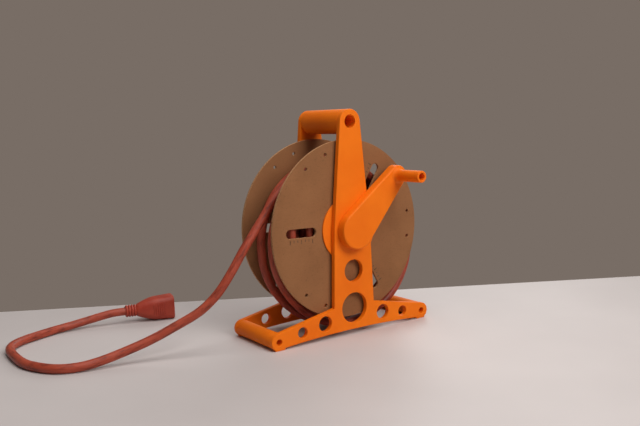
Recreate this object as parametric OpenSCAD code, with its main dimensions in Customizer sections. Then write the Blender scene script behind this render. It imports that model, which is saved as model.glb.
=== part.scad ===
// Extension cable reel: a cardboard spool of cord that turns between two printed side frames.
// The reel's axis runs along Y, the crank is at the front (-Y) and the feet stand on Z = 0.

/* [Spool] */
// Outer diameter of the cardboard flanges
flange_d = 200; // [190:1:206]
// Thickness of each cardboard flange
flange_t = 3; // [2:0.5:5]
// Width of the spool over both flanges
spool_w = 65; // [60:1:80]
// Outer diameter of the cardboard core tube
core_d = 80; // [70:1:86]
// Wall of the cardboard core tube
core_wall = 3; // [2:0.5:5]
// Diameter of the bore through each flange
bore_d = 55; // [50:1:60]
// Width of each sight slot
slot_w = 10; // [6:0.5:14]
// Radius of the inner end of each sight slot
slot_in_r = 43.5; // [43:0.5:50]
// Radius of the outer end of each sight slot
slot_out_r = 82.5; // [70:0.5:86]
// Diameter of the small holes near the rim
rim_hole_d = 4; // [3:0.5:7]
// Radius of the circle of small holes
rim_hole_r = 89; // [87:0.5:91]
// Half of the angle between the two holes of a pair
rim_hole_half = 9.6; // [6:0.2:14]
// Angle by which the spool is turned at rest
spool_turn = -1.7; // [-60:0.1:60]

/* [Side frames] */
// Thickness of each side frame
plate_t = 6; // [5:0.5:10]
// Gap between a flange and the side frame beside it
side_gap = 2.5; // [2:0.5:6]
// Height of the reel's axis above the floor
axis_z = 118.7; // [117:0.5:130]
// Height of the handle's centre above the floor
handle_z = 238.2; // [236:0.5:260]
// Diameter of the handle and of the frame's round head
handle_d = 27.5; // [24:0.5:32]
// Diameter of the hollow through the handle
handle_bore_d = 14.5; // [10:0.5:16]
// Width of the column at the axis
column_axis_w = 50; // [44:1:56]
// Width of the column where it meets the base
column_base_w = 56; // [50:1:62]
// Height of the base beside the column
base_h = 33; // [31:0.5:40]
// Distance between the centres of the two feet
foot_span = 202; // [196:1:220]
// Diameter of the rounded foot ends
foot_d = 18.6; // [17:0.2:22]
// Diameter of the hollow through each foot tube
foot_bore_d = 6.8; // [4:0.2:8]
// Reach of the flat pad under each foot, in from the foot's centre
pad_in = 7.5; // [5:0.5:10]
// Reach of the flat pad under each foot, out from the foot's centre
pad_out = 5; // [3:0.5:8]
// Height of the underside just inside the pads
arch_low = 1.9; // [1:0.1:3]
// Height of the underside at mid-span
arch_high = 5.5; // [4:0.5:8]
// Diameter of the large lightening hole
big_hole_d = 34.5; // [28:0.5:37]
// Height of the large lightening hole
big_hole_z = 29.9; // [28:0.5:34]
// Diameter of the lightening hole in the column
column_hole_d = 25; // [18:0.5:28]
// Height of the lightening hole in the column
column_hole_z = 72.5; // [68:0.5:76]
// Diameter of the inner pair of holes in the base
inner_hole_d = 17; // [12:0.5:19]
// Distance of the inner pair of holes from the middle
inner_hole_x = 40.8; // [38:0.2:44]
// Height of the inner pair of holes
inner_hole_z = 18.3; // [17:0.1:19]
// Diameter of the outer pair of holes in the base
outer_hole_d = 12; // [8:0.5:13]
// Distance of the outer pair of holes from the middle
outer_hole_x = 70.9; // [66:0.2:76]
// Height of the outer pair of holes
outer_hole_z = 14.2; // [13:0.1:15]

/* [Crank and hubs] */
// Distance from the axis to the crank's peg
crank_len = 82; // [70:1:95]
// Angle of the crank arm above the horizontal at rest
crank_angle = 44; // [0:1:90]
// Thickness of the crank arm
crank_t = 11.5; // [9:0.5:16]
// Diameter of the crank arm's round end at the axis
crank_hub_d = 42; // [36:1:48]
// Diameter of the crank arm's round end at the peg
crank_tip_d = 23; // [19:0.5:27]
// Rounding of the crank arm's outer edge
crank_round = 2; // [1:0.25:3]
// Diameter of the peg
peg_d = 13.2; // [11:0.2:16]
// Length of the peg in front of the arm
peg_len = 38; // [30:1:60]
// Diameter of the hollow in the peg
peg_bore_d = 8; // [4:0.5:9]
// Radius of the flare where the peg meets the arm
peg_flare = 2.9; // [2:0.1:3.5]
// Diameter of the hub flange that lies against the spool
hub_flange_d = 72; // [64:1:78]
// Thickness of the hub flange
hub_flange_t = 2; // [1:0.25:2]
// Diameter of the journals that turn in the side frames
journal_d = 28; // [24:1:32]
// Size across the flats of the crank's hexagonal tenon
tenon_af = 16; // [13:0.5:18]
// Length of the crank's tenon behind the arm
tenon_len = 17; // [15:1:19]
// Diameter of the axle bolt
bolt_d = 6; // [5:0.5:7]
// Diameter of the axle bolt's head
bolt_head_d = 10; // [9:0.5:12]
// Height of the axle bolt's head
bolt_head_h = 6; // [4:0.5:7]
// Outer diameter of the threaded insert in the crank
insert_d = 8.4; // [8:0.2:10]
// Length of the threaded insert
insert_len = 12; // [8:1:14]
// Diameter of the cap behind the rear frame
cap_d = 36; // [34:1:44]
// Thickness of the cap behind the rear frame
cap_t = 8.5; // [8:0.5:12]
// Thickness of the washer under the bolt's head
washer_t = 1.6; // [1:0.1:2]

/* [Cord] */
// Diameter of the cord
cord_d = 9.5; // [8:0.1:9.6]
// Turns of the wound layer that shows
layer_turns = 3.7; // [3:0.1:3.8]
// Radius of the middle of the wound layer that shows
layer_r = 70; // [62:0.5:70.5]
// Length of the connector with its strain relief
connector_len = 59; // [54:1:70]
// Height of the connector's end
connector_h = 29; // [26:0.5:29]
// Width of the connector's end
connector_w = 26; // [24:0.5:32]
// Length of the ribbed strain relief
relief_len = 15; // [13:1:20]
// Diameter of the ribs on the strain relief
rib_d = 15.5; // [13:0.5:17]
// Number of ribs on the strain relief
rib_count = 4; // [3:1:5]

/* [Hidden] */

$fn = 96;
slack = 0.05;          // radial gap of pieces that are pushed together
running = 0.1;         // radial gap of pieces that turn
end_gap = 0.3;         // gap at the end of pieces that turn
cut = 1;               // how far a cutter runs past the face that it cuts
spigot_len = 4;        // length of a tube's spigot in the side frame
spigot_wall = 3.25;    // wall of a tube's spigot
foot_lift = 0.3;       // height of the foot tubes above the floor
plug_len = 9;          // how far a hub's plug reaches in past its flange
hub_wall = 5;          // floor of the hub behind the tenon's socket

flange_r = flange_d / 2;
inside_half = spool_w / 2 - flange_t;
frame_in = spool_w / 2 + side_gap;
frame_out = frame_in + plate_t;
foot_x = foot_span / 2;
foot_z = foot_d / 2;
foot_tube_d = foot_d - 2 * foot_lift;
crank_back = frame_out + end_gap;
crank_front = crank_back + crank_t;
peg_end = crank_front + peg_len;
journal_end = frame_out + end_gap;
cap_end = journal_end + cap_t;
tenon_in = crank_back - tenon_len;
peg_x = crank_len * cos(crank_angle);
peg_z = axis_z + crank_len * sin(crank_angle);
centre_y = (peg_end - cap_end) / 2;
cord_r = cord_d / 2;

orange = [0.87, 0.41, 0.07];
board = [0.55, 0.36, 0.22];
cord_red = [0.62, 0.24, 0.16];
steel = [0.6, 0.6, 0.62];
brass = [0.72, 0.56, 0.28];

// Everything is laid out from the middle of the spool, then moved so that the origin is under
// the middle of the reel with its crank.
module placed() translate([0, centre_y, 0]) children();

// A solid of revolution about the reel's axis, from y0 to y1.
module axle_disc(d, y0, y1, x = 0, z = axis_z)
    translate([x, y1, z]) rotate([90, 0, 0]) cylinder(d = d, h = y1 - y0);

// A hexagonal prism about the reel's axis, from y0 to y1.
module axle_hex(af, y0, y1)
    translate([0, y1, axis_z]) rotate([90, 0, 0]) rotate(30)
        cylinder(d = af / cos(30), h = y1 - y0, $fn = 6);

// A plate in the XZ plane, from y0 to y1, of a flat outline drawn with Z as its second axis.
module upright(y0, y1) translate([0, y1, 0]) rotate([90, 0, 0]) linear_extrude(y1 - y0) children();

// Side frames

// The two straight edges that touch a low circle and a high one.
function tangent_points(r0, z0, r1, z1) =
    let (lean = asin((r0 - r1) / (z1 - z0)))
    [[r0 * cos(lean), z0 + r0 * sin(lean)], [r1 * cos(lean), z1 + r1 * sin(lean)],
     [-r1 * cos(lean), z1 + r1 * sin(lean)], [-r0 * cos(lean), z0 + r0 * sin(lean)]];

// Underside of the base: an arc from pad to pad.
arch_x = foot_x - pad_in;
arch_rise = arch_high - arch_low;
arch_r = (arch_x * arch_x + arch_rise * arch_rise) / (2 * arch_rise);
function arch_points(steps = 24) =
    let (half = asin(arch_x / arch_r))
    [for (i = [0 : steps]) let (a = half - 2 * half * i / steps)
        [arch_r * sin(a), arch_high - arch_r + arch_r * cos(a)]];

// One arm of the base: from the column's foot to the tangent of the round foot end.
function arm_top(side) =
    let (dx = foot_x - column_base_w / 2, dz = foot_z - base_h, far = sqrt(dx * dx + dz * dz),
         fall = atan2(dz, dx) + asin(foot_z / far))
    [[side * column_base_w / 2, base_h],
     [side * (foot_x + foot_z * sin(-fall)), foot_z + foot_z * cos(fall)]];

module frame_body(y0, y1) {
    axle_disc(handle_d, y0, y1, 0, handle_z);
    axle_disc(column_axis_w, y0, y1);
    upright(y0, y1) polygon(tangent_points(column_axis_w / 2, axis_z, handle_d / 2, handle_z));
    upright(y0, y1) polygon([[column_axis_w / 2, axis_z], [-column_axis_w / 2, axis_z],
        [-column_base_w / 2, base_h], [-column_base_w / 2, foot_z], [column_base_w / 2, foot_z],
        [column_base_w / 2, base_h]]);
    upright(y0, y1) polygon(concat([arm_top(-1)[0], arm_top(1)[0], arm_top(1)[1], [foot_x, foot_z],
        [foot_x, arch_low]], arch_points(), [[-foot_x, arch_low], [-foot_x, foot_z], arm_top(-1)[1]]));
    for (side = [-1, 1]) {
        axle_disc(foot_d, y0, y1, side * foot_x, foot_z);
        upright(y0, y1) polygon([for (end = [[-pad_in, 0], [pad_out, 0], [pad_out, foot_z], [-pad_in, foot_z]])
            [side * (foot_x + end[0]), end[1]]]);
    }
}

module frame_holes(y0, y1) {
    axle_disc(handle_bore_d, y0, y1, 0, handle_z);
    axle_disc(journal_d + 2 * running, y0, y1);
    axle_disc(big_hole_d, y0, y1, 0, big_hole_z);
    axle_disc(column_hole_d, y0, y1, 0, column_hole_z);
    for (side = [-1, 1]) {
        axle_disc(inner_hole_d, y0, y1, side * inner_hole_x, inner_hole_z);
        axle_disc(outer_hole_d, y0, y1, side * outer_hole_x, outer_hole_z);
        axle_disc(foot_bore_d, y0, y1, side * foot_x, foot_z);
    }
}

handle_spigot_d = handle_bore_d + 2 * spigot_wall;
foot_spigot_d = foot_bore_d + 2 * spigot_wall;

// A side frame with its outer face at y_out; inward is the direction of its inner face.
module side_frame(y_out, inward) {
    y_in = y_out + inward * plate_t;
    y_low = min(y_out, y_in);
    y_high = max(y_out, y_in);
    pocket = y_in - inward * (spigot_len + slack);
    pocket_low = min(pocket, y_in + inward * cut);
    pocket_high = max(pocket, y_in + inward * cut);
    difference() {
        frame_body(y_low, y_high);
        frame_holes(y_low - cut, y_high + cut);
        axle_disc(handle_spigot_d + 2 * slack, pocket_low, pocket_high, 0, handle_z);
        for (side = [-1, 1])
            axle_disc(foot_spigot_d + 2 * slack, pocket_low, pocket_high, side * foot_x, foot_z);
    }
}

module front_side_frame() color(orange) side_frame(-frame_out, 1);
module rear_side_frame() color(orange) side_frame(frame_out, -1);

// Cross tubes

module cross_tube(d, spigot_d, bore, x, z) difference() {
    union() {
        axle_disc(d, -frame_in, frame_in, x, z);
        axle_disc(spigot_d, -frame_in - spigot_len, frame_in + spigot_len, x, z);
    }
    axle_disc(bore, -frame_out, frame_out, x, z);
}

module handle_tube() color(orange) cross_tube(handle_d, handle_spigot_d, handle_bore_d, 0, handle_z);
module foot_tube(side) cross_tube(foot_tube_d, foot_spigot_d, foot_bore_d, side * foot_x, foot_z);
module left_foot_tube() color(orange) foot_tube(-1);
module right_foot_tube() color(orange) foot_tube(1);

// Cardboard spool

module flange_outline() difference() {
    circle(r = flange_r);
    circle(d = bore_d);
    for (turn = [0 : 120 : 240]) {
        rotate(turn + 180) translate([(slot_in_r + slot_out_r) / 2, 0]) slot_outline();
        for (side = [-1, 1])
            rotate(turn + side * rim_hole_half) translate([rim_hole_r, 0]) circle(d = rim_hole_d);
    }
}

module slot_outline() {
    reach = (slot_out_r - slot_in_r - slot_w) / 2;
    square([2 * reach, slot_w], center = true);
    for (side = [-1, 1]) translate([side * reach, 0]) circle(d = slot_w);
}

module flange(y0) color(board)
    upright(y0, y0 + flange_t) translate([0, axis_z]) rotate(spool_turn) flange_outline();
module front_flange() flange(-spool_w / 2);
module rear_flange() flange(inside_half);

module spool_core() color(board) difference() {
    axle_disc(core_d, -inside_half, inside_half);
    axle_disc(core_d - 2 * core_wall, -inside_half - cut, inside_half + cut);
}

// Hubs, crank and the bolt that holds them together

plug_in = spool_w / 2 - flange_t - plug_len;

// A hub of the front side: flange, plug in the spool's bore and journal out to y_end.
module hub_body(y_end) {
    axle_disc(hub_flange_d, -spool_w / 2 - hub_flange_t, -spool_w / 2);
    axle_disc(bore_d - 2 * slack, -spool_w / 2, -plug_in);
    axle_disc(journal_d, -y_end, -spool_w / 2 - hub_flange_t);
}

module front_hub() color(orange) difference() {
    hub_body(crank_back);
    axle_hex(tenon_af + 2 * slack, -crank_back - cut, -tenon_in + slack);
    axle_disc(bolt_d + 4 * slack, -crank_back - cut, -plug_in + cut);
}

module rear_hub() color(orange) difference() {
    rotate_about_axis() hub_body(journal_end);
    axle_disc(bolt_d + 4 * slack, plug_in - cut, journal_end + cut);
}

// Half a turn about a vertical line through the middle of the spool.
module rotate_about_axis() rotate([0, 0, 180]) children();

// Outline of the crank arm, drawn in by inset all round.
module crank_outline(inset = 0) {
    r0 = crank_hub_d / 2 - inset;
    r1 = crank_tip_d / 2 - inset;
    circle(r = r0);
    translate([0, crank_len]) circle(r = r1);
    polygon(tangent_points(r0, 0, r1, crank_len));
}

// Half profile of the peg, flared where it leaves the arm.
function peg_profile(steps = 8) = concat([[0, -cut], [peg_d / 2 + peg_flare, -cut]],
    [for (i = [0 : steps]) let (a = 90 * i / steps)
        [peg_d / 2 + peg_flare * (1 - sin(a)), peg_flare * (1 - cos(a))]],
    [[peg_d / 2, peg_len], [0, peg_len]]);

module crank_solid() {
    steps = 4;
    linear_extrude(crank_t - crank_round) crank_outline();
    for (i = [1 : steps]) {
        a = 90 * i / steps;
        translate([0, 0, crank_t - crank_round])
            linear_extrude(crank_round * sin(a)) crank_outline(crank_round * (1 - cos(a - 90 / steps)));
    }
    translate([0, crank_len, crank_t]) rotate_extrude() polygon(peg_profile());
}

module crank_arm() color(orange) difference() {
    union() {
        translate([0, -crank_back, axis_z]) rotate([90, 0, 0]) rotate(crank_angle - 90) crank_solid();
        axle_hex(tenon_af, -crank_back - cut, -tenon_in);
    }
    axle_disc(insert_d, -tenon_in - insert_len, -tenon_in + cut);
    axle_disc(peg_bore_d, -peg_end - cut, -crank_front, peg_x, peg_z);
}

module crank_insert() color(brass) difference() {
    axle_disc(insert_d, -tenon_in - insert_len, -tenon_in);
    axle_disc(bolt_d, -tenon_in - insert_len - cut, -tenon_in + cut);
}

seat_y = cap_end - bolt_head_h - washer_t;
bolt_tip = -tenon_in - insert_len + end_gap;

module axle_bolt() color(steel) difference() {
    union() {
        axle_disc(bolt_d - 2 * slack, bolt_tip, seat_y + washer_t);
        axle_disc(bolt_head_d, seat_y + washer_t, cap_end);
    }
    axle_hex(bolt_d * 5 / 6, cap_end - bolt_head_h / 2, cap_end + cut);
}

module bolt_washer() color(steel) difference() {
    axle_disc(bolt_head_d + 2, seat_y, seat_y + washer_t);
    axle_disc(bolt_d + 4 * slack, seat_y - cut, cap_end);
}

module rear_cap() color(orange) difference() {
    axle_disc(cap_d, journal_end, cap_end);
    axle_disc(bolt_d + 4 * slack, journal_end - cut, cap_end + cut);
    axle_disc(bolt_head_d + 2 + 4 * slack, seat_y, cap_end + cut);
}

// Cord

function unit(v) = v / norm(v);

// Rings of a tube along a path; across is a direction that the path never follows.
function ring_points(path, across, sides) =
    let (last = len(path) - 1)
    [for (i = [0 : last])
        let (along = unit(path[min(i + 1, last)] - path[max(i - 1, 0)]),
             u = unit(cross(along, across)), v = cross(u, along))
        for (k = [0 : sides - 1])
            path[i] + cord_r * (cos(360 * k / sides) * u + sin(360 * k / sides) * v)];

function ring_faces(rings, sides) = concat(
    [for (i = [0 : rings - 2], k = [0 : sides - 1])
        let (a = i * sides + k, b = i * sides + (k + 1) % sides) each [[a, b, b + sides], [a, b + sides, a + sides]]],
    [for (k = [1 : sides - 2]) [0, k + 1, k]],
    [for (k = [1 : sides - 2]) let (e = (rings - 1) * sides) [e, e + k, e + k + 1]]);

module tube(path, across, sides)
    polyhedron(ring_points(path, across, sides), ring_faces(len(path), sides));

// A point at a radius and an angle about the reel's axis, counted from +X towards +Z.
function round_axis(r, a, y) = [r * cos(a), y, axis_z + r * sin(a)];

// The tangent there, in the way that the cord runs off the reel.
function run_off(a) = [-sin(a), 0, cos(a)];

loop_rings = 24;
layer_pitch = cord_d + 0.6;
lay_half = inside_half - cord_r - 0.5;
function layer_point(s) = round_axis(layer_r, 360 * layer_turns * s, layer_turns * layer_pitch * s - lay_half);
function layer_path() =
    let (steps = round(layer_turns * loop_rings))
    concat([layer_point(0) - cord_d * run_off(0)], [for (i = [0 : steps]) layer_point(i / steps)],
        [layer_point(1) + cord_d * run_off(360 * layer_turns)]);

// The last turns lie loose round the winding and sag below it. Every eighth of a turn gives how
// far the cord lies outside the wound layer, and its place across the spool from -1 to 1.
loose_knots = [
    [0, 1], [0.8, 0.97], [10.8, 0.84], [28, 0.66], [42, 0.3], [33.5, -0.1], [21, -0.88], [27.5, -0.97],
    [14, -0.98], [12, -0.97], [19.5, -0.66], [28, -0.55], [41, -0.66], [42.5, -0.78], [33.5, -0.56],
    [29, -0.46], [21.5, -0.48], [16, -0.5]];
loose_from = 90;
knot_turn = 45;
knot_rings = loop_rings * knot_turn / 360;
loose_last = len(loose_knots) - 1;
function loose_knot(i) = loose_knots[max(0, min(loose_last, i))];
function loose_at(s) =
    let (i = min(floor(s), loose_last - 1), f = s - i,
         a = loose_knot(i - 1), b = loose_knot(i), c = loose_knot(i + 1), d = loose_knot(i + 2))
    b + f * (c - a + f * (2 * a - 5 * b + 4 * c - d + f * (3 * (b - c) + d - a))) / 2;
function loose_point(s) =
    let (at = loose_at(s)) round_axis(layer_r + at[0], loose_from + knot_turn * s, lay_half * at[1]);
loose_in = unit(loose_point(0.1) - loose_point(0));
loose_out = unit(loose_point(loose_last) - loose_point(loose_last - 0.1));
loose_end = loose_point(loose_last) + cord_d * loose_out;
function loose_path() = concat([loose_point(0) - cord_d * loose_in],
    [for (i = [0 : loose_last * knot_rings]) loose_point(i / knot_rings)], [loose_end]);

// Route of the free end: down from the reel, round on the floor and back to the connector.
free_route = [
    [-83.8, -12.1, 157.2], [-96.5, -12, 141], [-109, -11.8, 125.2], [-123, -11.2, 107.2],
    [-136.6, -9.6, 86.6], [-149.6, -5.2, 67], [-161.8, -0.5, 53.5], [-174.1, 3.5, 44.3], [-192, 10, 34.8],
    [-215.7, 18, 23.4], [-239.5, 24.5, 15], [-269, 30, 7.5], [-292, 34.5, 4.9], [-312, 46.5, 4.9],
    [-327.5, 76, 4.9], [-331, 110, 4.9], [-329, 143, 4.9], [-321, 160, 4.9], [-308, 171.5, 4.9],
    [-292, 180, 4.9], [-271, 189.5, 4.9], [-256.5, 192.5, 5.5], [-242, 192.5, 7], [-227.5, 191.5, 9.2],
    [-214.5, 188.5, 11.8], [-203, 185.8, 13.8]];
connector_start = [-185, 181.7, 14.6];
connector_turn = -11.5;
connector_axis = [cos(connector_turn), sin(connector_turn), 0];

// A smooth curve through the points, with two stretches between neighbours.
function between(p, i) =
    let (n = len(p) - 1, a = p[max(i - 1, 0)], b = p[i], c = p[i + 1], d = p[min(i + 2, n)])
    (9 * (b + c) - a - d) / 16;
function smooth_path(p) = [for (i = [0 : len(p) - 1]) each i < len(p) - 1 ? [p[i], between(p, i)] : [p[i]]];
function free_path() =
    concat([loose_end, loose_end + cord_d * loose_out],
        smooth_path(concat(free_route, [connector_start - cord_d * connector_axis])), [connector_start]);

module cord_core() color(cord_red) difference() {
    axle_disc(2 * (layer_r - cord_r) * cos(180 / loop_rings) - 2 * end_gap,
        -inside_half + end_gap, inside_half - end_gap);
    axle_disc(core_d + 2 * end_gap, -inside_half, inside_half);
}

module cord_wound_layer() color(cord_red) tube(layer_path(), [0, 1, 0], 6);
module cord_loose_turns() color(cord_red) tube(loose_path(), [0, 1, 0], 6);
module cord_free_end() color(cord_red) tube(free_path(), [0, 0, 1], 8);

// Connector, drawn along +X from where the cord enters it

module at_connector() translate(connector_start) rotate(connector_turn) children();

module along_x(d, x0, x1) translate([x0, 0, 0]) rotate([0, 90, 0]) cylinder(d = d, h = x1 - x0);

relief_d = cord_d + 2.5;
module connector_relief() color(cord_red) at_connector() {
    step = relief_len / (rib_count + 0.5);
    along_x(relief_d, 0, relief_len);
    for (i = [0 : rib_count - 1]) along_x(rib_d, (i + 0.25) * step, (i + 0.75) * step);
}

// A cross-section of the connector: a rectangle with round corners.
module connector_section(x, w, h, r) translate([x, 0, 0]) rotate([90, 0, 90]) linear_extrude(0.5)
    hull() for (sx = [-1, 1], sy = [-1, 1]) translate([sx * (w / 2 - r), sy * (h / 2 - r)]) circle(r, $fn = 20);

blade_gap = 12.7;
blade_slot = [8, 2.4];
earth_d = 5.6;
earth_drop = 9;
slot_depth = 20;
contact_set = 5;
contact_wall = 0.7;

module blade_shape(grow) for (side = [-1, 1])
    translate([side * blade_gap / 2, 3]) square([blade_slot[1] + 2 * grow, blade_slot[0] + 2 * grow], center = true);
module earth_shape(grow) translate([0, 3 - earth_drop]) circle(d = earth_d + 2 * grow);

module into_face(x0, x1) translate([x0, 0, 0]) rotate([90, 0, 90]) linear_extrude(x1 - x0) children();

module connector_shell() {
    shoulder = relief_len + 15;
    hull() {
        connector_section(relief_len, rib_d, rib_d, rib_d / 2 - 0.1);
        connector_section(relief_len + 6, connector_w * 0.8, connector_h * 0.78, 8);
    }
    hull() {
        connector_section(relief_len + 6, connector_w * 0.8, connector_h * 0.78, 8);
        connector_section(shoulder, connector_w - 1, connector_h - 1.5, 8);
    }
    hull() {
        connector_section(shoulder, connector_w - 1, connector_h - 1.5, 8);
        connector_section(connector_len - 0.5, connector_w, connector_h, 6);
    }
}

module connector_body() color(cord_red) at_connector() difference() {
    connector_shell();
    into_face(connector_len - slot_depth, connector_len + cut) {
        blade_shape(0);
        earth_shape(0);
    }
    into_face(connector_len - slot_depth, connector_len - contact_set) {
        blade_shape(contact_wall + slack);
        earth_shape(contact_wall + slack);
    }
}

module connector_contacts() color(brass) at_connector()
    into_face(connector_len - slot_depth, connector_len - contact_set - slack) {
        difference() { blade_shape(contact_wall); blade_shape(0); }
        difference() { earth_shape(contact_wall); earth_shape(0); }
    }

// Least gaps of the wound cord to itself, measured between points more than half a turn apart.
function least_gap(path, apart) = min([for (i = [0 : len(path) - 1], j = [i + apart : len(path) - 1])
    norm(path[i] - path[j])]) - cord_d;
function least_between(a, b) = min([for (p = a, q = b) norm(p - q)]) - cord_d;
echo(wound_layer_gap = least_gap(layer_path(), loop_rings / 2));
echo(loose_turns_gap = least_gap(loose_path(), loop_rings / 2));
echo(loose_to_layer_gap = least_between(loose_path(), layer_path()));
echo(free_end_to_loose_gap = least_between([for (i = [3 : len(free_path()) - 1]) free_path()[i]],
    [for (i = [0 : len(loose_path()) - 4]) loose_path()[i]]));
function path_length(p) = len(p) < 2 ? 0 : let (steps = [for (i = [1 : len(p) - 1]) norm(p[i] - p[i - 1])])
    steps * [for (s = steps) 1];
echo(loose_turns_length = path_length(loose_path()), free_end_length = path_length(free_path()),
    wound_layer_length = path_length(layer_path()));

placed() front_side_frame();
placed() rear_side_frame();
placed() handle_tube();
placed() left_foot_tube();
placed() right_foot_tube();
placed() front_flange();
placed() rear_flange();
placed() spool_core();
placed() front_hub();
placed() rear_hub();
placed() crank_arm();
placed() crank_insert();
placed() axle_bolt();
placed() bolt_washer();
placed() rear_cap();
placed() cord_core();
placed() cord_wound_layer();
placed() cord_loose_turns();
placed() cord_free_end();
placed() connector_relief();
placed() connector_body();
placed() connector_contacts();
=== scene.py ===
"""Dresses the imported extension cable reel: printed frames, cardboard spool, cord and connector.

Lengths are in metres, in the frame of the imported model: +Z up, the reel's axis along Y, the crank at -Y.
The lists of points that say so are in millimetres.
"""

from __future__ import annotations

import logging
import math
from dataclasses import dataclass
from enum import Enum
from typing import Callable, Iterable, Sequence

import bmesh
import bpy
from mathutils import Matrix, Vector

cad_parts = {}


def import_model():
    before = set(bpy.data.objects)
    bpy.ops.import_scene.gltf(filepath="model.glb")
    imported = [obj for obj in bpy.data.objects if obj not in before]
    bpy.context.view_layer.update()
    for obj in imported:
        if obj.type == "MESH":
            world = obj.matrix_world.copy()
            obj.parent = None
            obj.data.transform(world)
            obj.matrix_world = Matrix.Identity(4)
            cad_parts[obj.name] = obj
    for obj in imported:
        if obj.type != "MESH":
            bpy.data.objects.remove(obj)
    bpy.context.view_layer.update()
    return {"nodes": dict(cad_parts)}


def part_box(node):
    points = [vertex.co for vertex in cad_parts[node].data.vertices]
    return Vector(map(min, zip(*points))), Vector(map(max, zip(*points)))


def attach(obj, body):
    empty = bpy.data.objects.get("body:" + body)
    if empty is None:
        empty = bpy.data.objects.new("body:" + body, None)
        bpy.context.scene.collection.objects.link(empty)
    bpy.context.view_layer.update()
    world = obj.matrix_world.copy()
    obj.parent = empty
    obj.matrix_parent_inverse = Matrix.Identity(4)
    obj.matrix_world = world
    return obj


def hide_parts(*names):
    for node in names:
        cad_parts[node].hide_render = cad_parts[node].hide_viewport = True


log = logging.getLogger("cable_reel")

MM = 0.001
PHOTO_WIDTH = 640
# Most of a side that the rounding of one corner may take up.
CORNER_SHARE = 0.49

Point2 = tuple[float, float]
Colour = tuple[float, float, float, float]


class Body(Enum):
    """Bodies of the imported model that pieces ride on."""

    FRAME = "frame"
    REEL = "reel"


class Slot(Enum):
    """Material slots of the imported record."""

    PLASTIC = "printed_orange"
    BOARD = "cardboard"
    JACKET = "cord_jacket"
    CONNECTOR = "connector_red"


# Small helpers for outlines and colours


def srgb(red: int, green: int, blue: int) -> Colour:
    """Turns a colour of 0 to 255 per channel into a linear one for a shader socket.

    Args:
        red: Red channel.
        green: Green channel.
        blue: Blue channel.

    Returns:
        The linear colour with full alpha.
    """

    def linear(channel: int) -> float:
        """One channel, by the standard curve."""
        share = channel / 255
        return share / 12.92 if share <= 0.04045 else ((share + 0.055) / 1.055) ** 2.4

    return linear(red), linear(green), linear(blue), 1.0


def arc(centre: Point2, radius: float, start: float, end: float, steps: int) -> list[Point2]:
    """Points along a circular arc.

    Args:
        centre: Middle of the circle.
        radius: Radius of the circle.
        start: First angle in degrees, counted from the first axis.
        end: Last angle in degrees.
        steps: Number of stretches.

    Returns:
        steps + 1 points from start to end.
    """
    angles = (math.radians(start + (end - start) * i / steps) for i in range(steps + 1))
    return [(centre[0] + radius * math.cos(a), centre[1] + radius * math.sin(a)) for a in angles]


def ring(centre: Point2, radius: float, steps: int = 64) -> list[Point2]:
    """A closed circle as points, without a doubled end."""
    return arc(centre, radius, 0, 360, steps)[:-1]


def softened(corners: Sequence[Point2], radius: float, steps: int = 4) -> list[Point2]:
    """Rounds each corner of a closed outline.

    Args:
        corners: Corners in order.
        radius: Distance from a corner at which its rounding starts.
        steps: Stretches in each rounding.

    Returns:
        The rounded outline.
    """
    points: list[Point2] = []
    count = len(corners)
    for i, corner in enumerate(corners):
        here = Vector(corner)
        before = Vector(corners[i - 1]) - here
        after = Vector(corners[(i + 1) % count]) - here
        reach = min(radius, CORNER_SHARE * before.length, CORNER_SHARE * after.length)
        first = here + before.normalized() * reach
        last = here + after.normalized() * reach
        for k in range(steps + 1):
            t = k / steps
            spot = first * (1 - t) ** 2 + here * (2 * t * (1 - t)) + last * t**2
            points.append((spot.x, spot.y))
    return points


# Mesh building


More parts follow.
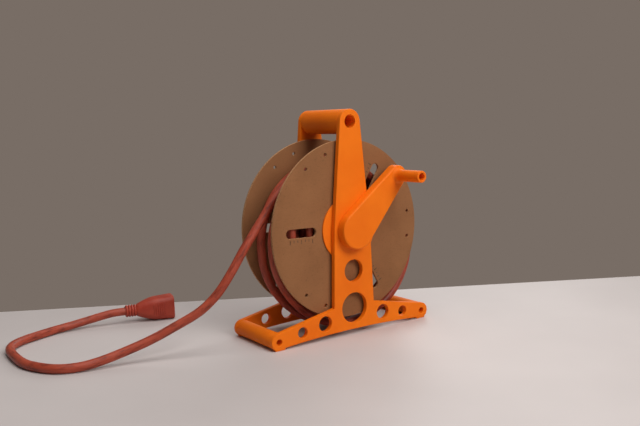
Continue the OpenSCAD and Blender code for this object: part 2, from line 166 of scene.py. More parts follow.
class MeshShop:
    """Makes meshes that are placed by their own coordinates, with the object at the origin."""

    SMOOTH_ANGLE = math.radians(32)
    WELD = 1e-7
    SLIVER = 1e-8

    @classmethod
    def weld(cls, mesh: bpy.types.Mesh, sliver: float = 0.0) -> None:
        """Merges doubled points of a mesh and turns its faces outwards.

        Args:
            mesh: The mesh, which is changed.
            sliver: Longest edge that is dissolved, or 0 to keep them all.
        """
        work = bmesh.new()
        work.from_mesh(mesh)
        bmesh.ops.remove_doubles(work, verts=work.verts, dist=cls.WELD)
        if sliver:
            bmesh.ops.dissolve_degenerate(work, edges=work.edges, dist=sliver)
        bmesh.ops.recalc_face_normals(work, faces=work.faces)
        work.to_mesh(mesh)
        work.free()

    @staticmethod
    def skin(rings: int, count: int, closed: bool = False) -> list[tuple[int, ...]]:
        """Faces between outlines that follow each other.

        Args:
            rings: Number of outlines.
            count: Points in each outline.
            closed: Whether the last outline joins the first.

        Returns:
            The faces as point numbers.
        """
        faces: list[tuple[int, ...]] = []
        for i in range(rings if closed else rings - 1):
            here, there = i * count, (i + 1) % rings * count
            faces += [(here + k, here + (k + 1) % count, there + (k + 1) % count, there + k)
                      for k in range(count)]
        return faces

    @classmethod
    def stacked(cls, name: str, outlines: Sequence[Sequence[Sequence[float]]]) -> bpy.types.Object:
        """A solid through outlines with the same number of points, closed at both ends.

        Args:
            name: Name of the object.
            outlines: Outlines in order.

        Returns:
            The solid.
        """
        count = len(outlines[0])
        verts = [point for outline in outlines for point in outline]
        faces = cls.skin(len(outlines), count)
        faces.append(tuple(range(count)))
        faces.append(tuple(range(len(verts) - count, len(verts))))
        return cls.from_faces(name, verts, faces)

    @classmethod
    def from_faces(cls, name: str, verts: Sequence[Sequence[float]], faces: Sequence[Sequence[int]],
                   smooth: bool = True) -> bpy.types.Object:
        """Makes an object from points and faces, welded and with its faces outwards.

        Args:
            name: Name of the object.
            verts: Points.
            faces: Faces as point numbers.
            smooth: Whether round stretches are shaded smooth.

        Returns:
            The new object.
        """
        mesh = bpy.data.meshes.new(name)
        mesh.from_pydata([tuple(v) for v in verts], [], [tuple(f) for f in faces])
        cls.weld(mesh, cls.SLIVER)
        return cls.place(name, mesh, smooth)

    @classmethod
    def place(cls, name: str, mesh: bpy.types.Mesh, smooth: bool = True) -> bpy.types.Object:
        """Puts a mesh in the scene at the origin.

        Args:
            name: Name of the object.
            mesh: Its mesh.
            smooth: Whether round stretches are shaded smooth.

        Returns:
            The new object.
        """
        if smooth:
            mesh.polygons.foreach_set("use_smooth", [True] * len(mesh.polygons))
            mesh.set_sharp_from_angle(angle=cls.SMOOTH_ANGLE)
        piece = bpy.data.objects.new(name, mesh)
        bpy.context.scene.collection.objects.link(piece)
        return piece

    @classmethod
    def revolved(cls, name: str, profile: Sequence[Point2], centre: Point2,
                 sides: int = 96) -> bpy.types.Object:
        """Turns a closed profile about a line along Y.

        Args:
            name: Name of the object.
            profile: Closed outline as (radius, y).
            centre: The line's X and Z.
            sides: Faces round the line.

        Returns:
            The turned object.
        """
        verts = []
        for k in range(sides):
            turn = 2 * math.pi * k / sides
            verts += [(centre[0] + r * math.cos(turn), y, centre[1] + r * math.sin(turn))
                      for r, y in profile]
        return cls.from_faces(name, verts, cls.skin(sides, len(profile), closed=True))

    @classmethod
    def plate(cls, name: str, outline: Sequence[Point2], holes: Iterable[Sequence[Point2]],
              span: Point2, edge: float, at: Matrix | None = None) -> bpy.types.Object:
        """A plate in the XZ plane with holes and softened edges.

        Args:
            name: Name of the object.
            outline: Outer outline as (x, z).
            holes: Inner outlines as (x, z).
            span: Lowest and highest Y.
            edge: Rounding of every edge.
            at: Where the plate goes, instead of upright in the XZ plane.

        Returns:
            The plate.
        """
        curve = bpy.data.curves.new(name, "CURVE")
        curve.dimensions = "2D"
        curve.fill_mode = "BOTH"
        for points in (outline, *holes):
            spline = curve.splines.new("POLY")
            spline.points.add(len(points) - 1)
            for spot, point in zip(spline.points, points):
                spot.co = (point[0], point[1], 0, 1)
            spline.use_cyclic_u = True
        curve.extrude = (span[1] - span[0]) / 2 - edge
        curve.bevel_depth = edge
        curve.bevel_resolution = 1
        curve.offset = -edge
        flat = bpy.data.objects.new(name + "_flat", curve)
        bpy.context.scene.collection.objects.link(flat)
        mesh = cls.evaluated(flat)
        bpy.data.objects.remove(flat)
        raised = Matrix.Translation((0, (span[0] + span[1]) / 2, 0))
        upright = raised @ Matrix.Rotation(math.pi / 2, 4, "X")
        mesh.transform(upright if at is None else at)
        cls.weld(mesh)
        piece = cls.place(name, mesh)
        cls.shade_evenly(piece)
        return piece

    @staticmethod
    def shade_evenly(piece: bpy.types.Object) -> None:
        """Lets the large faces of a piece lead its shading."""
        weighted = piece.modifiers.new("even shading", "WEIGHTED_NORMAL")
        weighted.keep_sharp = True

    @staticmethod
    def evaluated(source: bpy.types.Object) -> bpy.types.Mesh:
        """The plain mesh of an object with its modifiers or curve settings worked out.

        Args:
            source: The object.

        Returns:
            A new mesh.
        """
        graph = bpy.context.evaluated_depsgraph_get()
        graph.update()
        return bpy.data.meshes.new_from_object(source.evaluated_get(graph), depsgraph=graph)

    @classmethod
    def tube(cls, name: str, path: Sequence[Vector], radius: float, sides: int) -> bpy.types.Object:
        """A round tube along a path, with closed ends and a UV map of turn and length.

        Args:
            name: Name of the object.
            path: Points of the centreline.
            radius: Radius of the tube.
            sides: Faces round it.

        Returns:
            The tube.
        """
        frames = cls.carried_frames(path)
        verts = []
        for point, (side, up) in zip(path, frames):
            for k in range(sides):
                turn = 2 * math.pi * k / sides
                verts.append(point + radius * (math.cos(turn) * side + math.sin(turn) * up))
        faces = cls.skin(len(path), sides)
        last = (len(path) - 1) * sides
        faces.append(tuple(range(sides - 1, -1, -1)))
        faces.append(tuple(range(last, last + sides)))
        mesh = bpy.data.meshes.new(name)
        mesh.from_pydata([tuple(v) for v in verts], [], faces)
        lengths = [0.0]
        for before, after in zip(path, path[1:]):
            lengths.append(lengths[-1] + (after - before).length)
        uv = mesh.uv_layers.new(name="cord")
        for face in mesh.polygons:
            columns = [index % sides for index in face.vertices]
            wraps = len(columns) == 4 and max(columns) - min(columns) > 1
            for loop, index in zip(face.loop_indices, face.vertices):
                column = index % sides
                column += sides if wraps and column == 0 else 0
                uv.data[loop].uv = (column / sides, lengths[index // sides])
        return cls.place(name, mesh)

    @staticmethod
    def carried_frames(path: Sequence[Vector]) -> list[tuple[Vector, Vector]]:
        """Two directions across a path at each point, carried along it without twist.

        Args:
            path: Points of the path.

        Returns:
            A side and an up direction for each point.
        """
        frames = []
        side = Vector((0, 1, 0))
        for i in range(len(path)):
            along = (path[min(i + 1, len(path) - 1)] - path[max(i - 1, 0)]).normalized()
            side = side - along * side.dot(along)
            if side.length < 1e-6:
                side = along.orthogonal()
            side = side.normalized()
            frames.append((side, along.cross(side)))
        return frames


class CopyTree:
    """Geometry Nodes trees that repeat a small shape along a line."""

    HOOP_SIDES = 48
    WIRE_SIDES = 12

    @staticmethod
    def blocks(name: str, finish: bpy.types.Material, count: int, start: Vector, step: Vector,
               size: Vector) -> bpy.types.Mesh:
        """A row of equal blocks.

        Args:
            name: Name of the tree.
            finish: Material of the blocks.
            count: Number of blocks.
            start: Middle of the first block.
            step: From one block to the next.
            size: Size of a block.

        Returns:
            The row as one plain mesh.
        """
        tree, add = CopyTree.empty_tree(name, {"Count": "NodeSocketInt", "Start": "NodeSocketVector",
                                               "Step": "NodeSocketVector", "Size": "NodeSocketVector"})
        given = add("NodeGroupInput")
        line = add("GeometryNodeMeshLine")
        cube = add("GeometryNodeMeshCube")
        copies = add("GeometryNodeInstanceOnPoints")
        for source, target in ((given.outputs["Count"], line.inputs["Count"]),
                               (given.outputs["Start"], line.inputs["Start Location"]),
                               (given.outputs["Step"], line.inputs["Offset"]),
                               (given.outputs["Size"], cube.inputs["Size"]),
                               (line.outputs[0], copies.inputs["Points"]),
                               (cube.outputs["Mesh"], copies.inputs["Instance"])):
            tree.links.new(source, target)
        CopyTree.finish_tree(tree, add, copies.outputs[0], finish)
        return CopyTree.run(tree, {"Count": count, "Start": start, "Step": step, "Size": size})

    @staticmethod
    def hoops(name: str, finish: bpy.types.Material, count: int, step: float, radius: float,
              thickness: float) -> bpy.types.Mesh:
        """A row of round hoops along +X, starting at the origin.

        Args:
            name: Name of the tree.
            finish: Material of the hoops.
            count: Number of hoops.
            step: Distance between hoops.
            radius: Radius of a hoop's centreline.
            thickness: Radius of a hoop's wire.

        Returns:
            The row as one plain mesh.
        """
        tree, add = CopyTree.empty_tree(name, {"Count": "NodeSocketInt", "Step": "NodeSocketVector",
                                               "Radius": "NodeSocketFloat", "Wire": "NodeSocketFloat"})
        given = add("NodeGroupInput")
        line = add("GeometryNodeMeshLine")
        hoop = add("GeometryNodeCurvePrimitiveCircle")
        wire = add("GeometryNodeCurvePrimitiveCircle")
        solid = add("GeometryNodeCurveToMesh")
        copies = add("GeometryNodeInstanceOnPoints")
        hoop.inputs["Resolution"].default_value = CopyTree.HOOP_SIDES
        wire.inputs["Resolution"].default_value = CopyTree.WIRE_SIDES
        copies.inputs["Rotation"].default_value = (0, math.pi / 2, 0)
        for source, target in ((given.outputs["Count"], line.inputs["Count"]),
                               (given.outputs["Step"], line.inputs["Offset"]),
                               (given.outputs["Radius"], hoop.inputs["Radius"]),
                               (given.outputs["Wire"], wire.inputs["Radius"]),
                               (hoop.outputs["Curve"], solid.inputs["Curve"]),
                               (wire.outputs["Curve"], solid.inputs["Profile Curve"]),
                               (line.outputs[0], copies.inputs["Points"]),
                               (solid.outputs[0], copies.inputs["Instance"])):
            tree.links.new(source, target)
        CopyTree.finish_tree(tree, add, copies.outputs[0], finish)
        return CopyTree.run(tree, {"Count": count, "Step": Vector((step, 0, 0)), "Radius": radius,
                                   "Wire": thickness})

    @staticmethod
    def empty_tree(name: str, sockets: dict[str, str]) -> tuple[bpy.types.NodeTree, Callable]:
        """A new tree with named inputs.

        Args:
            name: Name of the tree.
            sockets: Input names and their socket types.

        Returns:
            The tree and a function that adds a node to it.
        """
        tree = bpy.data.node_groups.new(name, "GeometryNodeTree")
        tree.interface.new_socket("Geometry", in_out="OUTPUT", socket_type="NodeSocketGeometry")
        for label, kind in sockets.items():
            tree.interface.new_socket(label, in_out="INPUT", socket_type=kind)
        return tree, tree.nodes.new

    @staticmethod
    def finish_tree(tree: bpy.types.NodeTree, add: Callable, result: bpy.types.NodeSocket,
                    finish: bpy.types.Material) -> None:
        """Ends a tree in Realize Instances and Set Material.

        Args:
            tree: The tree.
            add: Adds a node to it.
            result: The socket that holds the copies.
            finish: Their material.
        """
        real = add("GeometryNodeRealizeInstances")
        dressed = add("GeometryNodeSetMaterial")
        out = add("NodeGroupOutput")
        dressed.inputs["Material"].default_value = finish
        tree.links.new(result, real.inputs[0])
        tree.links.new(real.outputs[0], dressed.inputs["Geometry"])
        tree.links.new(dressed.outputs[0], out.inputs[0])

    @staticmethod
    def run(tree: bpy.types.NodeTree, values: dict[str, object]) -> bpy.types.Mesh:
        """Evaluates a tree on an empty object.

        Args:
            tree: The tree.
            values: Input names and values.

        Returns:
            The plain mesh that it makes.
        """
        carrier = bpy.data.objects.new(tree.name, bpy.data.meshes.new(tree.name))
        bpy.context.scene.collection.objects.link(carrier)
        modifier = carrier.modifiers.new("copies", "NODES")
        modifier.node_group = tree
        for item in tree.interface.items_tree:
            if item.in_out == "INPUT" and item.name in values:
                modifier[item.identifier] = values[item.name]
        mesh = MeshShop.evaluated(carrier)
        bpy.data.objects.remove(carrier)
        return mesh


# Finishes


class NodeBench:
    """A material's node tree with short calls for the nodes that the finishes share."""

    EDGE_RANGE = (0.3, 0.95)

    def __init__(self, name: str) -> None:
        """Starts a material with a Principled shader.

        Args:
            name: Name of the material.
        """
        self.material = bpy.data.materials.new(name)
        self.material.use_nodes = True
        self.nodes = self.material.node_tree.nodes
        self.links = self.material.node_tree.links
        self.shader = self.nodes["Principled BSDF"]

    def place(self, source: str, scale: Sequence[float] = (1, 1, 1),
              turn: Sequence[float] = (0, 0, 0)) -> bpy.types.NodeSocket:
        """Coordinates of the surface, scaled and turned.

        Args:
            source: "Object" or "UV".
            scale: Scale on each axis.
            turn: Turn about each axis in degrees.

        Returns:
            The socket with the coordinates.
        """
        coordinates = self.nodes.new("ShaderNodeTexCoord")
        mapping = self.nodes.new("ShaderNodeMapping")
        mapping.inputs["Scale"].default_value = scale
        mapping.inputs["Rotation"].default_value = [math.radians(a) for a in turn]
        self.links.new(coordinates.outputs[source], mapping.inputs["Vector"])
        return mapping.outputs["Vector"]

    def noise(self, vector: bpy.types.NodeSocket, scale: float, detail: float = 3,
              rough: float = 0.5) -> bpy.types.NodeSocket:
        """Noise as a number from 0 to 1.

        Args:
            vector: Coordinates of the surface.
            scale: Patches per unit of the coordinates.
            detail: Layers of finer noise.
            rough: How strong the finer layers are.

        Returns:
            The number's socket.
        """
        node = self.nodes.new("ShaderNodeTexNoise")
        node.inputs["Scale"].default_value = scale
        node.inputs["Detail"].default_value = detail
        node.inputs["Roughness"].default_value = rough
        self.links.new(vector, node.inputs["Vector"])
        return node.outputs["Fac"]

    def wave(self, vector: bpy.types.NodeSocket, scale: float, axis: str,
             distortion: float = 0.0) -> bpy.types.NodeSocket:
        """Parallel bands across an axis, as a number from 0 to 1.

        Args:
            vector: Coordinates of the surface.
            scale: Scale of the bands.
            axis: Axis that the bands lie across.
            distortion: How much the bands waver.

        Returns:
            The number's socket.
        """
        node = self.nodes.new("ShaderNodeTexWave")
        node.bands_direction = axis
        node.inputs["Scale"].default_value = scale
        node.inputs["Distortion"].default_value = distortion
        self.links.new(vector, node.inputs["Vector"])
        return node.outputs["Fac"]

    def ramp(self, value: bpy.types.NodeSocket,
             stops: Sequence[tuple[float, Colour]]) -> bpy.types.NodeSocket:
        """Colours by a number.

        Args:
            value: The number.
            stops: Positions and colours, two or more.

        Returns:
            The colour socket.
        """
        node = self.nodes.new("ShaderNodeValToRGB")
        elements = node.color_ramp.elements
        while len(elements) < len(stops):
            elements.new(0.5)
        for element, (position, colour) in zip(elements, stops):
            element.position = position
            element.color = colour
        self.links.new(value, node.inputs["Fac"])
        return node.outputs["Color"]

    def mix(self, share: bpy.types.NodeSocket, first: bpy.types.NodeSocket,
            second: bpy.types.NodeSocket) -> bpy.types.NodeSocket:
        """Blends two colours.

        Args:
            share: Share of the second colour.
            first: First colour.
            second: Second colour.

        Returns:
            The colour socket.
        """
        node = self.nodes.new("ShaderNodeMix")
        node.data_type = "RGBA"
        # The node repeats its socket names for each kind of data, and these numbers are its colours.
        self.links.new(share, node.inputs["Factor"])
        self.links.new(first, node.inputs[6])
        self.links.new(second, node.inputs[7])
        return node.outputs[2]

    def span(self, value: bpy.types.NodeSocket, low: float, high: float, start: float = 0.0,
             end: float = 1.0) -> bpy.types.NodeSocket:
        """A number spread over a new range and held inside it.

        Args:
            value: The number.
            low: New value at start.
            high: New value at end.
            start: Where the old range starts.
            end: Where the old range ends.

        Returns:
            The number's socket.
        """
        node = self.nodes.new("ShaderNodeMapRange")
        node.inputs["From Min"].default_value = start
        node.inputs["From Max"].default_value = end
        node.inputs["To Min"].default_value = low
        node.inputs["To Max"].default_value = high
        self.links.new(value, node.inputs["Value"])
        return node.outputs["Result"]

    def bump(self, height: bpy.types.NodeSocket, distance: float, strength: float,
             below: bpy.types.NodeSocket | None = None) -> bpy.types.NodeSocket:
        """A surface relief.

        Args:
            height: The relief from 0 to 1.
            distance: Its depth in metres.
            strength: How much of it shows.
            below: A relief that this one lies on.

        Returns:
            The normal socket.
        """
        node = self.nodes.new("ShaderNodeBump")
        node.inputs["Distance"].default_value = distance
        node.inputs["Strength"].default_value = strength
        self.links.new(height, node.inputs["Height"])
        if below is not None:
            self.links.new(below, node.inputs["Normal"])
        return node.outputs["Normal"]

    def edge_highlight_share(self) -> bpy.types.NodeSocket:
        """How much of a spot takes the painted highlight of the cut edges: 0 where it faces along Y, 1 where
        it faces across.

        Returns:
            The share's socket.
        """
        surface = self.nodes.new("ShaderNodeNewGeometry")
        split = self.nodes.new("ShaderNodeSeparateXYZ")
        size = self.nodes.new("ShaderNodeMath")
        size.operation = "ABSOLUTE"
        self.links.new(surface.outputs["Normal"], split.inputs["Vector"])
        self.links.new(split.outputs["Y"], size.inputs[0])
        return self.span(size.outputs["Value"], 1.0, 0.0, *self.EDGE_RANGE)

    def feed(self, **sockets: bpy.types.NodeSocket) -> None:
        """Links sockets to the shader's inputs, with _ for a space in the input's name."""
        for name, socket in sockets.items():
            self.links.new(socket, self.shader.inputs[name.replace("_", " ")])


class Finish:
    """What the finishes share: each adds its own nodes to a new material."""

    def make(self, name: str) -> bpy.types.Material:
        """Builds the material.

        Args:
            name: Name of the material.

        Returns:
            The material.
        """
        bench = NodeBench(name)
        self.dress(bench)
        return bench.material

    def dress(self, bench: NodeBench) -> None:
        """Adds the nodes of the finish."""
        raise NotImplementedError


@dataclass(frozen=True)
class PrintedPlastic(Finish):
    """Satin plastic laid down in fine layers, stacked along Y."""

    colour: Colour
    shade: Colour
    layer_height: float = 0.2 * MM
    layer_relief: float = 0.04 * MM
    layer_waver: float = 0.4
    drift_scale: float = 22
    grain_scale: float = 900
    grain_relief: float = 0.03 * MM
    roughness: float = 0.55
    specular: float = 0.2
    translucency: float = 0.06
    glow_depth: tuple[float, float, float] = (2 * MM, 0.8 * MM, 0.3 * MM)

    def dress(self, bench: NodeBench) -> None:
        """Adds the nodes of the finish.

        Args:
            bench: The material's nodes.
        """
        spot = bench.place("Object")
        drift = bench.noise(spot, self.drift_scale, 4)
        colour = bench.ramp(drift, [(0.3, self.shade), (0.7, self.colour)])
        # A band of the wave node is pi / 10 wide at a scale of 1.
        layers = bench.wave(spot, math.pi / (10 * self.layer_height), "Y", self.layer_waver)
        grain = bench.noise(spot, self.grain_scale, 2)
        relief = bench.bump(layers, self.layer_relief, 0.5)
        relief = bench.bump(grain, self.grain_relief, 0.35, relief)
        sheen = bench.span(drift, self.roughness - 0.05, self.roughness + 0.08)
        bench.feed(Base_Color=colour, Roughness=sheen, Normal=relief)
        bench.shader.inputs["Specular IOR Level"].default_value = self.specular
        bench.shader.inputs["Subsurface Weight"].default_value = self.translucency
        bench.shader.inputs["Subsurface Radius"].default_value = self.glow_depth


@dataclass(frozen=True)
class PressedBoard(Finish):
    """Brown pressed cardboard with fibres and flecks, with a painted highlight on the cut edges and other
    faces across Y.
    """

    colour: Colour
    shade: Colour
    fleck: Colour
    # Colour of the painted highlight on faces across Y, the cut edges.
    highlight_colour: Colour
    cloud_scale: float = 26
    fleck_scale: float = 520
    fleck_relief: float = 0.05 * MM
    fibre_scale: tuple[float, float, float] = (220, 220, 1400)
    fibre_turn: tuple[float, float, float] = (0, 24, 0)
    fibre_relief: float = 0.12 * MM
    specular: float = 0.22

    def dress(self, bench: NodeBench) -> None:
        """Adds the nodes of the finish.

        Args:
            bench: The material's nodes.
        """
        spot = bench.place("Object")
        cloud = bench.noise(spot, self.cloud_scale, 4)
        face = bench.ramp(cloud, [(0.3, self.shade), (0.72, self.colour)])
        fibre_place = bench.place("Object", self.fibre_scale, self.fibre_turn)
        fibre = bench.noise(fibre_place, 1, 4, 0.65)
        flecks = bench.noise(spot, self.fleck_scale, 2, 0.6)
        dark = bench.ramp(cloud, [(0.0, self.fleck), (1.0, self.shade)])
        share = bench.span(flecks, 0.0, 0.55, 0.58, 0.78)
        coloured = bench.mix(share, face, dark)
        streak = bench.span(fibre, 0.0, 0.3, 0.45, 0.85)
        coloured = bench.mix(streak, coloured, dark)
        # Painted highlight: spots facing across Y, the cut edges and the core tube's outside, are mixed
        # towards the paler colour.
        pale = bench.ramp(flecks, [(0.4, self.highlight_colour), (0.7, self.colour)])
        coloured = bench.mix(bench.edge_highlight_share(), coloured, pale)
        relief = bench.bump(fibre, self.fibre_relief, 0.4)
        relief = bench.bump(flecks, self.fleck_relief, 0.3, relief)
        bench.feed(Base_Color=coloured, Normal=relief, Roughness=bench.span(cloud, 0.78, 0.92))
        bench.shader.inputs["Specular IOR Level"].default_value = self.specular


@dataclass(frozen=True)
class VinylJacket(Finish):
    """Cord jacket: satin vinyl, rubbed and grimy in streaks along its length."""

    colour: Colour
    rubbed: Colour
    grime: Colour
    patch_scale: tuple[float, float, float] = (3.0, 26.0, 1.0)
    streak_scale: tuple[float, float, float] = (7.0, 60.0, 1.0)
    streak_relief: float = 0.12 * MM
    skin_scale: float = 700
    skin_relief: float = 0.05 * MM
    specular: float = 0.4

    def dress(self, bench: NodeBench) -> None:
        """Adds the nodes of the finish.

        Args:
            bench: The material's nodes.
        """
        along = bench.place("UV", self.patch_scale)
        close = bench.place("UV", self.streak_scale)
        patches = bench.noise(along, 1.0, 4, 0.6)
        streaks = bench.noise(close, 1.0, 3, 0.6)
        base = bench.ramp(patches, [(0.3, self.colour), (0.68, self.rubbed)])
        dirt = bench.ramp(patches, [(0.2, self.grime), (1.0, self.colour)])
        coloured = bench.mix(bench.span(streaks, 0.0, 0.85, 0.48, 0.68), base, dirt)
        skin = bench.noise(bench.place("Object"), self.skin_scale, 3)
        relief = bench.bump(streaks, self.streak_relief, 0.35)
        relief = bench.bump(skin, self.skin_relief, 0.4, relief)
        bench.feed(Base_Color=coloured, Normal=relief, Roughness=bench.span(patches, 0.42, 0.6))
        bench.shader.inputs["Specular IOR Level"].default_value = self.specular


@dataclass(frozen=True)
class MouldedVinyl(Finish):
    """Moulded vinyl of a connector, with a fine spark-eroded texture."""

    colour: Colour
    worn: Colour
    wear_scale: float = 75
    grain_scale: float = 1500
    grain_relief: float = 0.05 * MM
    specular: float = 0.4

    def dress(self, bench: NodeBench) -> None:
        """Adds the nodes of the finish.

        Args:
            bench: The material's nodes.
        """
        spot = bench.place("Object")
        wear = bench.noise(spot, self.wear_scale, 4, 0.6)
        grain = bench.noise(spot, self.grain_scale, 2)
        coloured = bench.ramp(wear, [(0.35, self.colour), (0.75, self.worn)])
        bench.feed(Base_Color=coloured, Normal=bench.bump(grain, self.grain_relief, 0.5),
                   Roughness=bench.span(wear, 0.4, 0.58))
        bench.shader.inputs["Specular IOR Level"].default_value = self.specular


@dataclass(frozen=True)
class PlainMetal(Finish):
    """Plated or bare metal with fine turning marks."""

    colour: Colour
    dull: Colour
    roughness: float
    stain_scale: float = 160
    mark_scale: tuple[float, float, float] = (300, 4000, 300)
    mark_relief: float = 0.02 * MM

    def dress(self, bench: NodeBench) -> None:
        """Adds the nodes of the finish.

        Args:
            bench: The material's nodes.
        """
        spot = bench.place("Object")
        stain = bench.noise(spot, self.stain_scale, 4)
        marks = bench.noise(bench.place("Object", self.mark_scale), 1, 2)
        coloured = bench.ramp(stain, [(0.3, self.dull), (0.7, self.colour)])
        bench.feed(Base_Color=coloured, Normal=bench.bump(marks, self.mark_relief, 0.3),
                   Roughness=bench.span(stain, self.roughness, self.roughness + 0.15))
        bench.shader.inputs["Metallic"].default_value = 1.0


@dataclass(frozen=True)
class PrintInk(Finish):
    """Thin dark ink on cardboard, worn through in places."""

    colour: Colour
    thin: Colour
    wear_scale: float = 420

    def dress(self, bench: NodeBench) -> None:
        """Adds the nodes of the finish.

        Args:
            bench: The material's nodes.
        """
        worn = bench.noise(bench.place("Object"), self.wear_scale, 3)
        bench.feed(Base_Color=bench.ramp(worn, [(0.45, self.colour), (0.75, self.thin)]),
                   Roughness=bench.span(worn, 0.7, 0.85))


@dataclass
class Finishes:
    """Every material of the reel, made once."""

    plastic: bpy.types.Material
    board: bpy.types.Material
    jacket: bpy.types.Material
    connector: bpy.types.Material
    steel: bpy.types.Material
    brass: bpy.types.Material
    ink: bpy.types.Material

    @classmethod
    def mixed(cls) -> Finishes:
        """Builds all the materials.

        Returns:
            The materials.
        """
        plastic = PrintedPlastic(srgb(245, 122, 10), srgb(238, 111, 5))
        # The board's last colour is the painted highlight on the cut edges.
        board = PressedBoard(srgb(150, 103, 67), srgb(136, 92, 58), srgb(80, 51, 32), srgb(184, 138, 98))
        jacket = VinylJacket(srgb(152, 57, 36), srgb(176, 76, 52), srgb(66, 24, 15))
        connector = MouldedVinyl(srgb(160, 53, 35), srgb(176, 68, 47))
        steel = PlainMetal(srgb(188, 188, 192), srgb(150, 150, 154), 0.28)
        brass = PlainMetal(srgb(204, 168, 96), srgb(168, 132, 70), 0.3)
        ink = PrintInk(srgb(52, 42, 36), srgb(108, 78, 56))
        return cls(
            plastic=plastic.make("printed_plastic"),
            board=board.make("spool_board"),
            jacket=jacket.make("cord_jacket"),
            connector=connector.make("connector_vinyl"),
            steel=steel.make("plated_steel"),
            brass=brass.make("bare_brass"),
            ink=ink.make("gauge_ink"),
        )


# Pieces of the reel


@dataclass
class Layout:
    """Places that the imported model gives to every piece."""

    middle_y: float
    axis_z: float
    front_flange: Point2
    rear_flange: Point2
    flange_radius: float

    @classmethod
    def measured(cls) -> Layout:
        """Reads the spool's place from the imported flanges.

        Returns:
            The layout.
        """
        low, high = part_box("front_flange")
        rear_low, rear_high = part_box("rear_flange")
        return cls(
            middle_y=(low[1] + rear_high[1]) / 2,
            axis_z=(low[2] + high[2]) / 2,
            front_flange=(low[1], high[1]),
            rear_flange=(rear_low[1], rear_high[1]),
            flange_radius=(high[0] - low[0]) / 2,
        )

    @property
    def axis(self) -> Point2:
        """X and Z of the reel's axis."""
        return 0.0, self.axis_z

    def turned(self, point: Point2, turn: float) -> Point2:
        """Turns a point about the reel's axis.

        Args:
            point: The point, counted from the axis.
            turn: Angle in degrees, from +X towards +Z.

        Returns:
            X and Z of the turned point.
        """
        a = math.radians(turn)
        x, z = point
        return x * math.cos(a) - z * math.sin(a), self.axis_z + x * math.sin(a) + z * math.cos(a)


def settle(piece: bpy.types.Object, body: Body, slot: Slot, finish: bpy.types.Material,
           *nodes: str) -> bpy.types.Object:
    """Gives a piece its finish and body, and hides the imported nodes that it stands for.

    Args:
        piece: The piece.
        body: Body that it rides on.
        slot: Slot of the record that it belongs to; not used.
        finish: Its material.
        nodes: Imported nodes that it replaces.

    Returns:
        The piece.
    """
    if not piece.data.materials:
        piece.data.materials.append(finish)
    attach(piece, body.value)
    if nodes:
        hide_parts(*nodes)
    log.info("%s rides on %s and replaces %s", piece.name, body.value, ", ".join(nodes) or "nothing")
    return piece


@dataclass
class SideFrames:
    """The two printed side frames, cut from one outline."""

    layout: Layout
    head_z: float = 238.2 * MM
    head_radius: float = 13.75 * MM
    head_hole: float = 7.25 * MM
    hub_radius: float = 25 * MM
    journal_hole: float = 14.1 * MM
    base_half: float = 28 * MM
    base_top: float = 33 * MM
    foot_x: float = 101 * MM
    foot_radius: float = 9.3 * MM
    foot_hole: float = 3.4 * MM
    pad_in: float = 7.5 * MM
    pad_out: float = 5 * MM
    arch_low: float = 1.9 * MM
    arch_high: float = 5.5 * MM
    edge: float = 0.7 * MM
    round_holes: tuple[tuple[float, float, float], ...] = (
        (0, 29.9 * MM, 17.25 * MM), (0, 72.5 * MM, 12.5 * MM),
        (40.8 * MM, 18.3 * MM, 8.5 * MM), (-40.8 * MM, 18.3 * MM, 8.5 * MM),
        (70.9 * MM, 14.2 * MM, 6 * MM), (-70.9 * MM, 14.2 * MM, 6 * MM))

    def half_outline(self) -> list[Point2]:
        """The right half of the outline.

        Returns:
            Points from the top of the head to the middle of the underside.
        """
        axis = self.layout.axis_z
        lean = math.degrees(math.asin((self.hub_radius - self.head_radius) / (self.head_z - axis)))
        points = arc((0, self.head_z), self.head_radius, 90, lean, 20)
        points += arc((0, axis), self.hub_radius, lean, 0, 4)
        points.append((self.base_half, self.base_top))
        run = self.foot_x - self.base_half
        drop = self.foot_radius - self.base_top
        fall = math.atan2(drop, run) + math.asin(self.foot_radius / math.hypot(run, drop))
        pad_edge = -math.degrees(math.acos(self.pad_out / self.foot_radius))
        points += arc((self.foot_x, self.foot_radius), self.foot_radius, 90 + math.degrees(fall), pad_edge,
                      24)
        arch_x = self.foot_x - self.pad_in
        points += [(self.foot_x + self.pad_out, 0), (arch_x, 0)]
        rise = self.arch_high - self.arch_low
        radius = (arch_x**2 + rise**2) / (2 * rise)
        half = math.degrees(math.asin(arch_x / radius))
        return points + arc((0, self.arch_high - radius), radius, 90 - half, 90, 16)

    def outline(self) -> list[Point2]:
        """The whole outline.

        Returns:
            Points all the way round.
        """
        right = self.half_outline()
        left = [(-x, z) for x, z in reversed(right[1:-1])]
        return right + left

    def holes(self) -> list[list[Point2]]:
        """Every hole of a side frame.

        Returns:
            The holes' outlines.
        """
        rings = [ring((x, z), radius) for x, z, radius in self.round_holes]
        rings.append(ring((0, self.head_z), self.head_hole))
        rings.append(ring(self.layout.axis, self.journal_hole))
        rings += [ring((side * self.foot_x, self.foot_radius), self.foot_hole, 40) for side in (-1, 1)]
        return rings

    def build(self, finishes: Finishes) -> None:
        """Makes both side frames.

        Args:
            finishes: Materials of the reel.
        """
        for node in ("front_side_frame", "rear_side_frame"):
            low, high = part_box(node)
            plate = MeshShop.plate(node.replace("_side", "") + "_plate", self.outline(), self.holes(),
                                   (low[1], high[1]), self.edge)
            settle(plate, Body.FRAME, Slot.PLASTIC, finishes.plastic, node)


